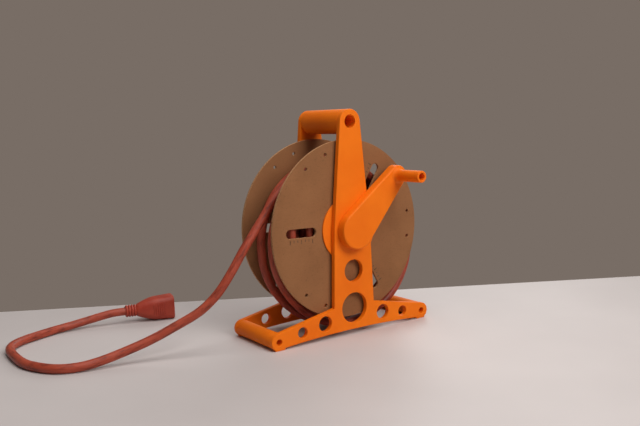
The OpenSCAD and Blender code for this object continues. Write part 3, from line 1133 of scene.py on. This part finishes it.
@dataclass
class CrossTubes:
    """The hollow carry handle and the two foot tubes between the side frames."""

    handle_bore: float = 7.25 * MM
    foot_bore: float = 3.4 * MM
    edge: float = 0.5 * MM

    def build(self, finishes: Finishes) -> None:
        """Makes the three tubes.

        Args:
            finishes: Materials of the reel.
        """
        inner = (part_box("front_side_frame")[1][1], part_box("rear_side_frame")[0][1])
        bores = {"handle_tube": self.handle_bore, "left_foot_tube": self.foot_bore,
                 "right_foot_tube": self.foot_bore}
        for node, bore in bores.items():
            low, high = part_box(node)
            radius = (high[0] - low[0]) / 2
            centre = ((low[0] + high[0]) / 2, (low[2] + high[2]) / 2)
            corners = [(bore, inner[0]), (radius, inner[0]), (radius, inner[1]), (bore, inner[1])]
            tube = MeshShop.revolved(node.replace("_tube", "_bar"), softened(corners, self.edge), centre)
            settle(tube, Body.FRAME, Slot.PLASTIC, finishes.plastic, node)


@dataclass
class Spool:
    """The cardboard spool: two slotted flanges with a printed gauge, and the core tube."""

    layout: Layout
    bore: float = 27.5 * MM
    slot_in: float = 43.5 * MM
    slot_out: float = 82.5 * MM
    slot_width: float = 10 * MM
    rim_radius: float = 89 * MM
    rim_hole: float = 2 * MM
    rim_half_angle: float = 9.6
    turn: float = -1.7
    edge: float = 0.3 * MM
    core_radius: float = 40 * MM
    core_wall: float = 3 * MM
    tick_count: int = 7
    tick_gap: float = 2.2 * MM
    tick_width: float = 0.7 * MM
    short_tick: float = 2.4 * MM
    long_tick: float = 4.4 * MM
    long_every: int = 3
    ink_height: float = 0.06 * MM

    def slot_outline(self, turn: float) -> list[Point2]:
        """One sight slot, turned about the axis.

        Args:
            turn: Direction of the slot in degrees.

        Returns:
            Its outline.
        """
        half = self.slot_width / 2
        points = arc((self.slot_out - half, 0), half, -90, 90, 12)
        points += arc((self.slot_in + half, 0), half, 90, 270, 12)
        return [self.layout.turned(point, turn) for point in points]

    def holes(self) -> list[list[Point2]]:
        """Bore, sight slots and rim holes of a flange.

        Returns:
            The holes' outlines.
        """
        outlines = [ring(self.layout.axis, self.bore, 96)]
        for turn in (0, 120, 240):
            outlines.append(self.slot_outline(self.turn + turn + 180))
            for side in (-1, 1):
                angle = self.turn + turn + side * self.rim_half_angle
                spot = self.layout.turned((self.rim_radius, 0), angle)
                outlines.append(ring(spot, self.rim_hole, 24))
        return outlines

    def gauge(self, flange: str, face_y: float, finishes: Finishes) -> bpy.types.Object:
        """Ink ticks beside each sight slot, to read how full the spool is.

        Args:
            flange: Name for the gauge.
            face_y: Y of the flange's outer face.
            finishes: Materials of the reel.

        Returns:
            The ticks of all three slots as one piece.
        """
        first = self.slot_in + self.slot_width / 2
        step = (self.slot_out - self.slot_in - self.slot_width) / (self.tick_count - 1)
        gauge = bmesh.new()
        for every, length in ((1, self.short_tick), (self.long_every, self.long_tick)):
            start = Vector((first, 0, self.slot_width / 2 + self.tick_gap + length / 2))
            size = Vector((self.tick_width, self.ink_height, length))
            count = (self.tick_count - 1) // every + 1
            row = CopyTree.blocks(f"{flange}_ticks_{every}", finishes.ink, count, start,
                                  Vector((step * every, 0, 0)), size)
            for turn in (60, 180, 300):
                copy = row.copy()
                place = Matrix.Translation((0, face_y, self.layout.axis_z))
                copy.transform(place @ Matrix.Rotation(-math.radians(self.turn + turn), 4, "Y"))
                gauge.from_mesh(copy)
        mesh = bpy.data.meshes.new(flange + "_gauge")
        gauge.to_mesh(mesh)
        gauge.free()
        return MeshShop.place(flange + "_gauge", mesh, smooth=False)

    def build(self, finishes: Finishes) -> None:
        """Makes the flanges, their gauges and the core tube.

        Args:
            finishes: Materials of the reel.
        """
        front, rear = self.layout.front_flange, self.layout.rear_flange
        for node, span, face in (("front_flange", front, front[0]), ("rear_flange", rear, rear[1])):
            rim = ring(self.layout.axis, self.layout.flange_radius, 180)
            board = MeshShop.plate(node.replace("flange", "board"), rim, self.holes(), span, self.edge)
            settle(board, Body.REEL, Slot.BOARD, finishes.board, node)
            marks = self.gauge(node.replace("_flange", ""), face, finishes)
            settle(marks, Body.REEL, Slot.BOARD, finishes.ink)
        inside = self.core_radius - self.core_wall
        corners = [(inside, front[1]), (self.core_radius, front[1]), (self.core_radius, rear[0]),
                   (inside, rear[0])]
        core = MeshShop.revolved("core_tube", corners, self.layout.axis)
        settle(core, Body.REEL, Slot.BOARD, finishes.board, "spool_core")


@dataclass
class Hubs:
    """The printed hubs that carry the spool, and the cap behind the rear one."""

    layout: Layout
    disc_radius: float = 36 * MM
    disc_thickness: float = 2 * MM
    plug_radius: float = 27.45 * MM
    plug_depth: float = 12 * MM
    journal_radius: float = 14 * MM
    journal_length: float = 6.8 * MM
    bolt_hole: float = 3.1 * MM
    edge: float = 0.4 * MM
    cap_recess: float = 6.1 * MM
    cap_edge: float = 1.2 * MM

    def profile(self) -> list[Point2]:
        """Half of a hub's section.

        Returns:
            Its corners as (radius, distance out from the spool's face).
        """
        out = self.disc_thickness
        end = out + self.journal_length
        return [(self.bolt_hole, -self.plug_depth), (self.plug_radius, -self.plug_depth),
                (self.plug_radius, 0), (self.disc_radius, 0), (self.disc_radius, out),
                (self.journal_radius, out), (self.journal_radius, end), (self.bolt_hole, end)]

    def build(self, finishes: Finishes) -> None:
        """Makes both hubs and the cap.

        Args:
            finishes: Materials of the reel.
        """
        faces = {"front_hub": (self.layout.front_flange[0], -1), "rear_hub": (self.layout.rear_flange[1], 1)}
        for node, (face, way) in faces.items():
            turned = [(r, face + way * d) for r, d in softened(self.profile(), self.edge)]
            hub = MeshShop.revolved(node + "_disc", turned, self.layout.axis)
            settle(hub, Body.REEL, Slot.PLASTIC, finishes.plastic, node)
        low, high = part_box("rear_cap")
        washer_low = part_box("bolt_washer")[0][1]
        radius = (high[0] - low[0]) / 2
        corners = [(self.bolt_hole, low[1]), (radius, low[1]), (radius, high[1]), (self.cap_recess, high[1]),
                   (self.cap_recess, washer_low), (self.bolt_hole, washer_low)]
        cap = MeshShop.revolved("rear_cap_disc", softened(corners, self.cap_edge), self.layout.axis)
        settle(cap, Body.REEL, Slot.PLASTIC, finishes.plastic, "rear_cap")


@dataclass
class Crank:
    """The crank arm with its rounded outer edge, flared peg and blind hollow in the peg."""

    layout: Layout
    length: float = 82 * MM
    angle: float = 44.0
    hub_radius: float = 21 * MM
    tip_radius: float = 11.5 * MM
    edge: float = 2 * MM
    back_edge: float = 0.4 * MM
    peg_radius: float = 6.6 * MM
    peg_hole: float = 4 * MM
    flare: float = 3.4 * MM
    flare_length: float = 5.5 * MM
    peg_edge: float = 0.8 * MM
    thickness: float = 11.5 * MM
    peg_length: float = 38 * MM
    gap: float = 0.3 * MM
    edge_steps: int = 8

    def outline(self, inset: float) -> list[Point2]:
        """The arm's outline along +X, drawn in all round.

        Args:
            inset: How far it is drawn in.

        Returns:
            The outline, with the same number of points at any inset.
        """
        big, small = self.hub_radius - inset, self.tip_radius - inset
        lean = math.degrees(math.acos((self.hub_radius - self.tip_radius) / self.length))
        return arc((0, 0), big, lean, 360 - lean, 64) + arc((self.length, 0), small, -lean, lean, 48)

    def arm(self, back: float) -> bpy.types.Object:
        """The arm as stacked outlines.

        Args:
            back: Y of the arm's back face.

        Returns:
            The arm.
        """
        levels = [(self.back_edge, 0.0), (0.0, self.back_edge)]
        levels += [(self.edge * (1 - math.cos(t)), self.thickness - self.edge * (1 - math.sin(t)))
                   for t in self.quarter()]
        outlines = []
        for inset, rise in levels:
            spots = [self.layout.turned(point, self.angle) for point in self.outline(inset)]
            outlines.append([(x, back - rise, z) for x, z in spots])
        return MeshShop.stacked("crank_lever", outlines)

    def quarter(self) -> list[float]:
        """Angles along a quarter turn, for the roundings."""
        return [math.pi / 2 * k / self.edge_steps for k in range(self.edge_steps + 1)]

    def peg(self, face: float) -> bpy.types.Object:
        """The peg, flared where it leaves the arm and hollow at its end.

        Args:
            face: Y of the arm's outer face.

        Returns:
            The peg.
        """
        centre = self.layout.turned((self.length, 0), self.angle)
        root = face + self.edge
        end = face - self.peg_length
        flare = [(self.peg_radius + self.flare * (1 - math.sin(t)),
                  face - self.flare_length * (1 - math.cos(t))) for t in self.quarter()]
        straight = face - self.flare_length - MM
        tip = softened([(self.peg_radius, straight), (self.peg_radius, end), (self.peg_hole, end),
                        (self.peg_hole, face)], self.peg_edge)
        profile = [(0.0, root), (self.peg_radius + self.flare, root), *flare]
        profile += [p for p in tip if p[1] < straight] + [(self.peg_hole, face), (0.0, face)]
        return MeshShop.revolved("crank_peg", profile, centre, 64)

    def build(self, finishes: Finishes) -> None:
        """Makes the arm and its peg.

        Args:
            finishes: Materials of the reel.
        """
        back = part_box("front_side_frame")[0][1] - self.gap
        arm = self.arm(back)
        MeshShop.shade_evenly(arm)
        settle(arm, Body.REEL, Slot.PLASTIC, finishes.plastic, "crank_arm")
        settle(self.peg(back - self.thickness), Body.REEL, Slot.PLASTIC, finishes.plastic)


# Cord


@dataclass
class Cord:
    """The cord: layers wound on the spool, loose turns round them and the free end on the floor."""

    layout: Layout
    diameter: float = 9.5 * MM
    layer_radius: float = 70 * MM
    loose_from: float = 90.0
    knot_turn: float = 45.0
    lay_half: float = 24.25 * MM
    knot_steps: int = 3
    lead_steps: int = 8
    lead_spacing: float = 3 * MM
    lead_sides: int = 20
    wound_spacing: float = 4 * MM
    wound_sides: int = 14
    wound_gap: float = 0.7 * MM
    wound_from: float = 40.0
    layer_rise: float = 8.4 * MM
    climb_turn: float = 60.0
    # Wound layers from the core outwards: layers above, first and last place across the spool in millimetres.
    layers: tuple[tuple[int, float, float], ...] = (
        (3, -24.2, 20), (2, 24.2, -7), (1, -5, 24.2), (0, 13.2, -24.2))
    # Loose turns, every eighth of a turn: millimetres outside the wound layer, and place across the spool.
    loose_knots: tuple[Point2, ...] = (
        (0, 1), (0.8, 0.97), (10.8, 0.84), (28, 0.66), (42, 0.3), (33.5, -0.1), (21, -0.88), (27.5, -0.97),
        (14, -0.98), (12, -0.97), (19.5, -0.66), (28, -0.55), (41, -0.66), (42.5, -0.78), (33.5, -0.56),
        (29, -0.46), (21.5, -0.48), (16, -0.5))
    # Route of the free end in millimetres from the middle of the spool, and where the connector starts.
    route: tuple[tuple[float, float, float], ...] = (
        (-83.8, -12.1, 157.2), (-96.5, -12, 141), (-109, -11.8, 125.2), (-123, -11.2, 107.2),
        (-136.6, -9.6, 86.6), (-149.6, -5.2, 67), (-161.8, -0.5, 53.5), (-174.1, 3.5, 44.3),
        (-192, 10, 34.8), (-215.7, 18, 23.4), (-239.5, 24.5, 15), (-269, 30, 7.5), (-292, 34.5, 4.9),
        (-312, 46.5, 4.9), (-327.5, 76, 4.9), (-331, 110, 4.9), (-329, 143, 4.9), (-321, 160, 4.9),
        (-308, 171.5, 4.9), (-292, 180, 4.9), (-271, 189.5, 4.9), (-256.5, 192.5, 5.5), (-242, 192.5, 7),
        (-227.5, 191.5, 9.2), (-214.5, 188.5, 11.8), (-203, 185.8, 13.8))
    connector_start: tuple[float, float, float] = (-185, 181.7, 14.6)
    connector_turn: float = -11.5

    def round_axis(self, radius: float, angle: float, y: float) -> Vector:
        """A point about the reel's axis.

        Args:
            radius: Distance from the axis.
            angle: Angle in degrees from +X towards +Z.
            y: Distance along the axis from the middle of the spool.

        Returns:
            The point.
        """
        a = math.radians(angle)
        return Vector((radius * math.cos(a), self.layout.middle_y + y,
                       self.layout.axis_z + radius * math.sin(a)))

    def loose_path(self) -> list[Vector]:
        """The loose turns round the winding, which sag below it.

        Returns:
            Points of their centreline.
        """
        knots = [Vector((lift, across, 0)) for lift, across in self.loose_knots]
        marks = through(knots, self.knot_steps)
        return [self.round_axis(self.layer_radius + mark.x * MM,
                                self.loose_from + self.knot_turn * i / self.knot_steps,
                                mark.y * self.lay_half) for i, mark in enumerate(marks)]

    def placed(self, point: Sequence[float]) -> Vector:
        """A route point in metres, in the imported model's frame."""
        return Vector((point[0] * MM, self.layout.middle_y + point[1] * MM, point[2] * MM))

    def connector_axis(self) -> Vector:
        """Direction in which the connector points."""
        a = math.radians(self.connector_turn)
        return Vector((math.cos(a), math.sin(a), 0))

    def free_path(self) -> list[Vector]:
        """The loose turns and the free end as one smooth path.

        Returns:
            Points of the centreline, up to the connector.
        """
        knots = self.loose_path() + [self.placed(point) for point in self.route]
        start = self.placed(self.connector_start)
        knots += [start - self.diameter * self.connector_axis(), start]
        return even_spacing(through(knots, self.lead_steps), self.lead_spacing)

    def wound_path(self) -> list[Vector]:
        """The winding under the loose turns, from the core outwards, which climbs at the end of a layer.

        Returns:
            Points of the centreline.
        """
        pitch = self.diameter + self.wound_gap
        knots: list[Vector] = []
        angle = self.wound_from
        for depth, first, last in self.layers:
            start, end = first * MM, last * MM
            turned = 360 * abs(end - start) / pitch
            count = max(2, round(turned / 10))
            radius = self.layer_radius - depth * self.layer_rise
            for i in range(count + 1):
                share = i / count
                knots.append(self.round_axis(radius, angle + turned * share, start + (end - start) * share))
            angle += turned + self.climb_turn
        return even_spacing(through(knots, self.knot_steps), self.wound_spacing)

    def build(self, finishes: Finishes, connector: Sequence[bpy.types.Object]) -> None:
        """Makes the winding and the free cord.

        Args:
            finishes: Materials of the reel.
            connector: The pieces at the cord's far end; not used.
        """
        wound = MeshShop.tube("cord_winding", self.wound_path(), self.diameter / 2, self.wound_sides)
        settle(wound, Body.REEL, Slot.JACKET, finishes.jacket, "cord_core", "cord_wound_layer")
        path = self.free_path()
        free = MeshShop.tube("cord_lead", path, self.diameter / 2, self.lead_sides)
        settle(free, Body.FRAME, Slot.JACKET, finishes.jacket, "cord_loose_turns", "cord_free_end")


def through(knots: Sequence[Vector], steps: int) -> list[Vector]:
    """A smooth curve through points.

    Args:
        knots: Points in order.
        steps: Stretches between neighbours.

    Returns:
        Points of the curve.
    """
    points = []
    for i in range(len(knots) - 1):
        a, b, c, d = knots[max(i - 1, 0)], knots[i], knots[i + 1], knots[min(i + 2, len(knots) - 1)]
        for k in range(steps):
            t = k / steps
            points.append(0.5 * (2 * b + (c - a) * t + (2 * a - 5 * b + 4 * c - d) * t**2
                                 + (3 * b - a - 3 * c + d) * t**3))
    return points + [knots[-1].copy()]


def even_spacing(points: Sequence[Vector], step: float) -> list[Vector]:
    """The same line with points at an even distance.

    Args:
        points: Points of the line.
        step: Distance between neighbours.

    Returns:
        The new points, with both ends kept.
    """
    lengths = [0.0]
    for before, after in zip(points, points[1:]):
        lengths.append(lengths[-1] + (after - before).length)
    count = max(2, round(lengths[-1] / step))
    spaced, i = [], 0
    for k in range(count + 1):
        want = lengths[-1] * k / count
        while i < len(points) - 2 and lengths[i + 1] < want:
            i += 1
        gap = lengths[i + 1] - lengths[i]
        spaced.append(points[i].lerp(points[i + 1], (want - lengths[i]) / gap if gap else 0.0))
    return spaced


@dataclass
class Connector:
    """The moulded connector at the cord's end, drawn along +X and then laid in place."""

    start: Vector
    turn: float
    length: float = 59 * MM
    relief: float = 15 * MM
    flare: float = 24 * MM
    socket_depth: float = 20.5 * MM
    width: float = 26 * MM
    height: float = 29 * MM
    relief_radius: float = 6 * MM
    rib_radius: float = 7.75 * MM
    face_inset: float = 1.2 * MM
    face_gap: float = 3.7 * MM
    face_corner: float = 5 * MM
    face_thickness: float = 3.5 * MM
    face_edge: float = 0.25 * MM
    blade_gap: float = 12.7 * MM
    blade_up: float = 3 * MM
    blade: tuple[float, float, float] = (2.4 * MM, 8 * MM, 0.3 * MM)
    earth_down: float = 6 * MM
    earth_radius: float = 2.8 * MM
    root_lap: float = 1.5 * MM
    root_step: float = 3 * MM
    round_share: float = 0.49
    flare_steps: int = 12
    flare_trim: Point2 = (1 * MM, 1.5 * MM)
    flare_squaring: float = 0.2
    socket_wall: float = 3.8 * MM
    socket_corner: float = 0.22
    # Rim in millimetres: back from the end, off the width and off the height, then the corner's share.
    rim: tuple[tuple[float, float, float, float], ...] = (
        (9, 0.4, 0.6, 0.26), (1.2, 0, 0, 0.24), (0.3, 0.5, 0.5, 0.24), (0, 1.6, 1.6, 0.24),
        (0, 3.6, 3.6, 0.22))
    grip_from: float = 19 * MM
    grip_count: int = 6
    grip_step: float = 2.6 * MM
    grip_rib: tuple[float, float, float] = (1.2 * MM, 1.4 * MM, 15 * MM)
    grip_sunk: float = 0.5 * MM
    grip_edge: float = 0.35 * MM
    hoop_from: float = 2.1 * MM
    hoop_count: int = 4
    hoop_step: float = 3.3 * MM
    hoop_wire: float = 1.45 * MM
    sleeve_taper: float = 0.6 * MM

    @property
    def place(self) -> Matrix:
        """From the connector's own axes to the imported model's frame."""
        return Matrix.Translation(self.start) @ Matrix.Rotation(math.radians(self.turn), 4, "Z")

    def section(self, width: float, height: float, corner: float) -> list[Point2]:
        """A rectangle with round corners, always with the same number of points.

        Args:
            width: Its width.
            height: Its height.
            corner: Radius of its corners.

        Returns:
            Its outline.
        """
        half_w, half_h = width / 2 - corner, height / 2 - corner
        points: list[Point2] = []
        for quarter, (sx, sz) in enumerate(((1, 1), (-1, 1), (-1, -1), (1, -1))):
            points += arc((sx * half_w, sz * half_h), corner, 90 * quarter, 90 * quarter + 90, 10)
        return points

    def shell(self) -> bpy.types.Object:
        """The tapered body with a rim round its end face.

        Returns:
            The body.
        """
        small = 2 * self.rib_radius
        neck = small - self.root_step
        stations = [(self.relief - self.root_lap, neck, neck, self.round_share),
                    (self.relief, small, small, self.round_share)]
        for k in range(1, self.flare_steps + 1):
            share = k / self.flare_steps
            grow = math.sin(share * math.pi / 2)
            stations.append((self.relief + self.flare * share,
                             small + (self.width - self.flare_trim[0] - small) * grow,
                             small + (self.height - self.flare_trim[1] - small) * grow,
                             self.round_share - self.flare_squaring * share))
        stations += [(self.length - back * MM, self.width - narrow * MM, self.height - low * MM, corner)
                     for back, narrow, low, corner in self.rim]
        socket = (self.width - self.socket_wall, self.height - self.socket_wall, self.socket_corner)
        stations += [(self.length - depth, *socket) for depth in (self.face_inset, self.socket_depth)]
        outlines = [[(x, y, z) for y, z in self.section(width, height, corner * min(width, height))]
                    for x, width, height, corner in stations]
        return MeshShop.stacked("connector_shell", outlines)

    def face(self) -> bpy.types.Object:
        """The end face with two blade slots and a round earth hole.

        Returns:
            The face.
        """
        outline = self.section(self.width - self.face_gap, self.height - self.face_gap, self.face_corner)
        holes = [[(side * self.blade_gap / 2 + x, self.blade_up + z) for x, z in self.section(*self.blade)]
                 for side in (-1, 1)]
        holes.append(ring((0, -self.earth_down), self.earth_radius, 32))
        middle = self.length - self.face_inset - self.face_thickness / 2
        facing = Matrix(((0, 0, 1, middle), (1, 0, 0, 0), (0, 1, 0, 0), (0, 0, 0, 1)))
        return MeshShop.plate("connector_face", outline, holes, (0, self.face_thickness), self.face_edge,
                              at=facing)

    def grip(self, finishes: Finishes) -> bpy.types.Object:
        """Low ribs across both sides of the body, for the fingers.

        Args:
            finishes: Materials of the reel.

        Returns:
            All the ribs as one piece.
        """
        ribs = bmesh.new()
        for side in (-1, 1):
            start = Vector((self.relief + self.grip_from, side * (self.width / 2 - self.grip_sunk), 0))
            row = CopyTree.blocks(f"grip_{side}", finishes.connector, self.grip_count, start,
                                  Vector((self.grip_step, 0, 0)), Vector(self.grip_rib))
            ribs.from_mesh(row)
        bmesh.ops.bevel(ribs, geom=ribs.edges[:], offset=self.grip_edge, segments=2, affect="EDGES",
                        profile=0.5)
        mesh = bpy.data.meshes.new("connector_grip")
        ribs.to_mesh(mesh)
        ribs.free()
        return MeshShop.place("connector_grip", mesh)

    def strain_relief(self, finishes: Finishes) -> bpy.types.Object:
        """A tapered sleeve with round ribs where the cord enters.

        Args:
            finishes: Materials of the reel.

        Returns:
            The sleeve with its ribs.
        """
        tip = self.relief_radius - self.sleeve_taper
        taper = [(0.0, 0.0), (tip, 0.0), (self.relief_radius, self.relief), (0.0, self.relief)]
        sleeve = MeshShop.revolved("connector_sleeve", taper, (0, 0), 48)
        sleeve.data.transform(Matrix.Rotation(-math.pi / 2, 4, "Z"))
        hoops = CopyTree.hoops("relief_ribs", finishes.connector, self.hoop_count, self.hoop_step,
                               self.relief_radius, self.hoop_wire)
        hoops.transform(Matrix.Translation((self.hoop_from, 0, 0)))
        joined = bmesh.new()
        joined.from_mesh(sleeve.data)
        joined.from_mesh(hoops)
        joined.to_mesh(sleeve.data)
        joined.free()
        sleeve.data.polygons.foreach_set("use_smooth", [True] * len(sleeve.data.polygons))
        return sleeve

    def build(self, finishes: Finishes) -> list[bpy.types.Object]:
        """Makes the connector and lays it in place.

        Args:
            finishes: Materials of the reel.

        Returns:
            Its pieces.
        """
        shell, face, grip = self.shell(), self.face(), self.grip(finishes)
        relief = self.strain_relief(finishes)
        for piece in (shell, face, grip, relief):
            piece.data.transform(self.place)
        settle(shell, Body.FRAME, Slot.CONNECTOR, finishes.connector, "connector_body")
        settle(face, Body.FRAME, Slot.CONNECTOR, finishes.connector)
        settle(grip, Body.FRAME, Slot.CONNECTOR, finishes.connector)
        settle(relief, Body.FRAME, Slot.CONNECTOR, finishes.connector, "connector_relief")
        return [shell, face, grip, relief]


# Camera, table and light


@dataclass(frozen=True)
class Lamp:
    """A square lamp that points at the reel, with its place and size in metres and its power in watts."""

    name: str
    spot: tuple[float, float, float]
    size: float
    power: float


@dataclass
class Studio:
    """The photograph's camera, a pale table top and soft light."""

    layout: Layout
    # The eye and two points of the table's far edge, in millimetres from the floor below the spool's middle.
    eye: tuple[float, float, float] = (-505.4, -698.1, 241.5)
    table_edge: tuple[Point2, Point2] = ((-294, 351), (494, -83))
    azimuth: float = -35.085
    elevation: float = 7.093
    roll: float = -1.78
    focal_pixels: float = 752.577
    sensor: float = 36.0
    table_reach: float = 2.6
    table_colours: tuple[Colour, Colour] = (srgb(196, 189, 188), srgb(203, 196, 195))
    table_roughness: float = 0.5
    table_specular: float = 0.25
    lamp_colour: tuple[float, float, float] = (1.0, 0.97, 0.94)
    lamps: tuple[Lamp, ...] = (Lamp("key_lamp", (0.2, -1.4, 1.1), 0.8, 16.5),
                               Lamp("top_lamp", (-0.15, -0.35, 1.7), 1.1, 15),
                               Lamp("rear_lamp", (1.2, 0.95, 1.0), 1.0, 10))
    room_colour: Colour = (1.0, 0.96, 0.92, 1.0)
    room_strength: float = 0.12
    wall_colour: Colour = srgb(120, 109, 101)

    def camera(self) -> None:
        """Sets the camera where the photograph was taken."""
        a, e, r = (math.radians(v) for v in (self.azimuth, self.elevation, self.roll))
        back = Vector((math.sin(a) * math.cos(e), -math.cos(a) * math.cos(e), math.sin(e)))
        level = Vector((math.cos(a), math.sin(a), 0))
        over = back.cross(level)
        right = math.cos(r) * level + math.sin(r) * over
        up = math.cos(r) * over - math.sin(r) * level
        lens = bpy.data.cameras.new("photo_camera")
        lens.sensor_fit = "HORIZONTAL"
        lens.sensor_width = self.sensor
        lens.lens = self.sensor * self.focal_pixels / PHOTO_WIDTH
        lens.clip_end = 50
        camera = bpy.data.objects.new("photo_camera", lens)
        bpy.context.scene.collection.objects.link(camera)
        place = Matrix((right, up, back)).transposed().to_4x4()
        x, y, z = (value * MM for value in self.eye)
        place.translation = Vector((x, self.layout.middle_y + y, z))
        camera.matrix_world = place
        bpy.context.scene.camera = camera

    def table(self) -> None:
        """A pale table top whose far edge runs as in the photograph."""
        first, second = (Vector((x * MM, self.layout.middle_y + y * MM, 0)) for x, y in self.table_edge)
        along = (second - first).normalized()
        near = Vector((along.y, -along.x, 0))
        if near.y > 0:
            near = -near
        middle = (first + second) / 2
        corners = [middle - along * self.table_reach, middle + along * self.table_reach]
        corners += [corner + near * self.table_reach for corner in reversed(corners)]
        top = MeshShop.from_faces("table_top", corners, [(0, 1, 2, 3)], smooth=False)
        if top.data.polygons[0].normal.z < 0:
            top.data.flip_normals()
        bench = NodeBench("pale_table")
        cloud = bench.noise(bench.place("Object"), 5, 3)
        bench.feed(Base_Color=bench.ramp(cloud, list(zip((0.3, 0.7), self.table_colours))))
        bench.shader.inputs["Roughness"].default_value = self.table_roughness
        bench.shader.inputs["Specular IOR Level"].default_value = self.table_specular
        top.data.materials.append(bench.material)

    def light(self) -> None:
        """A key lamp from the front right, and weaker ones from above and behind."""
        for kind in self.lamps:
            lamp = bpy.data.lights.new(kind.name, "AREA")
            lamp.size = kind.size
            lamp.energy = kind.power
            lamp.color = self.lamp_colour
            holder = bpy.data.objects.new(kind.name, lamp)
            bpy.context.scene.collection.objects.link(holder)
            holder.location = kind.spot
            aim = Vector((0, self.layout.middle_y, self.layout.axis_z)) - Vector(kind.spot)
            holder.rotation_euler = aim.to_track_quat("-Z", "Y").to_euler()

    def room(self) -> None:
        """An even world that shows as a plain wall."""
        world = bpy.data.worlds.new("soft_room")
        world.use_nodes = True
        bpy.context.scene.world = world
        nodes, links = world.node_tree.nodes, world.node_tree.links
        even = nodes["Background"]
        even.inputs["Color"].default_value = self.room_colour
        even.inputs["Strength"].default_value = self.room_strength
        wall = nodes.new("ShaderNodeBackground")
        wall.inputs["Color"].default_value = self.wall_colour
        seen = nodes.new("ShaderNodeLightPath")
        choose = nodes.new("ShaderNodeMixShader")
        rays = seen.outputs["Is Camera Ray"]
        for kind in ("Is Glossy Ray", "Is Transmission Ray"):
            either = nodes.new("ShaderNodeMath")
            either.operation = "MAXIMUM"
            links.new(rays, either.inputs[0])
            links.new(seen.outputs[kind], either.inputs[1])
            rays = either.outputs["Value"]
        links.new(rays, choose.inputs["Fac"])
        links.new(even.outputs["Background"], choose.inputs[1])
        links.new(wall.outputs["Background"], choose.inputs[2])
        links.new(choose.outputs["Shader"], nodes["World Output"].inputs["Surface"])

    def build(self) -> None:
        """Sets up camera, table, light and room."""
        bpy.context.scene.view_settings.view_transform = "Standard"
        self.camera()
        self.table()
        self.light()
        self.room()


def dress_metal(frame: dict, finishes: Finishes) -> None:
    """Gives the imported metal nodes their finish.

    Args:
        finishes: Materials of the reel.
    """
    metals = {"axle_bolt": finishes.steel, "bolt_washer": finishes.steel, "crank_insert": finishes.brass,
              "connector_contacts": finishes.brass}
    for node, finish in metals.items():
        mesh = frame["nodes"][node].data
        mesh.materials.clear()
        mesh.materials.append(finish)
        log.info("%s keeps its packed shape", node)


def main() -> None:
    """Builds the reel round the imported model."""
    logging.basicConfig(level=logging.INFO, format="%(message)s")
    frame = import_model()
    layout = Layout.measured()
    Studio(layout).build()
    finishes = Finishes.mixed()
    cord = Cord(layout)
    connector = Connector(cord.placed(cord.connector_start), cord.connector_turn).build(finishes)
    cord.build(finishes, [*connector, frame["nodes"]["connector_contacts"]])
    SideFrames(layout).build(finishes)
    CrossTubes().build(finishes)
    Spool(layout).build(finishes)
    Hubs(layout).build(finishes)
    Crank(layout).build(finishes)
    dress_metal(frame, finishes)


if __name__ == "__main__":
    main()
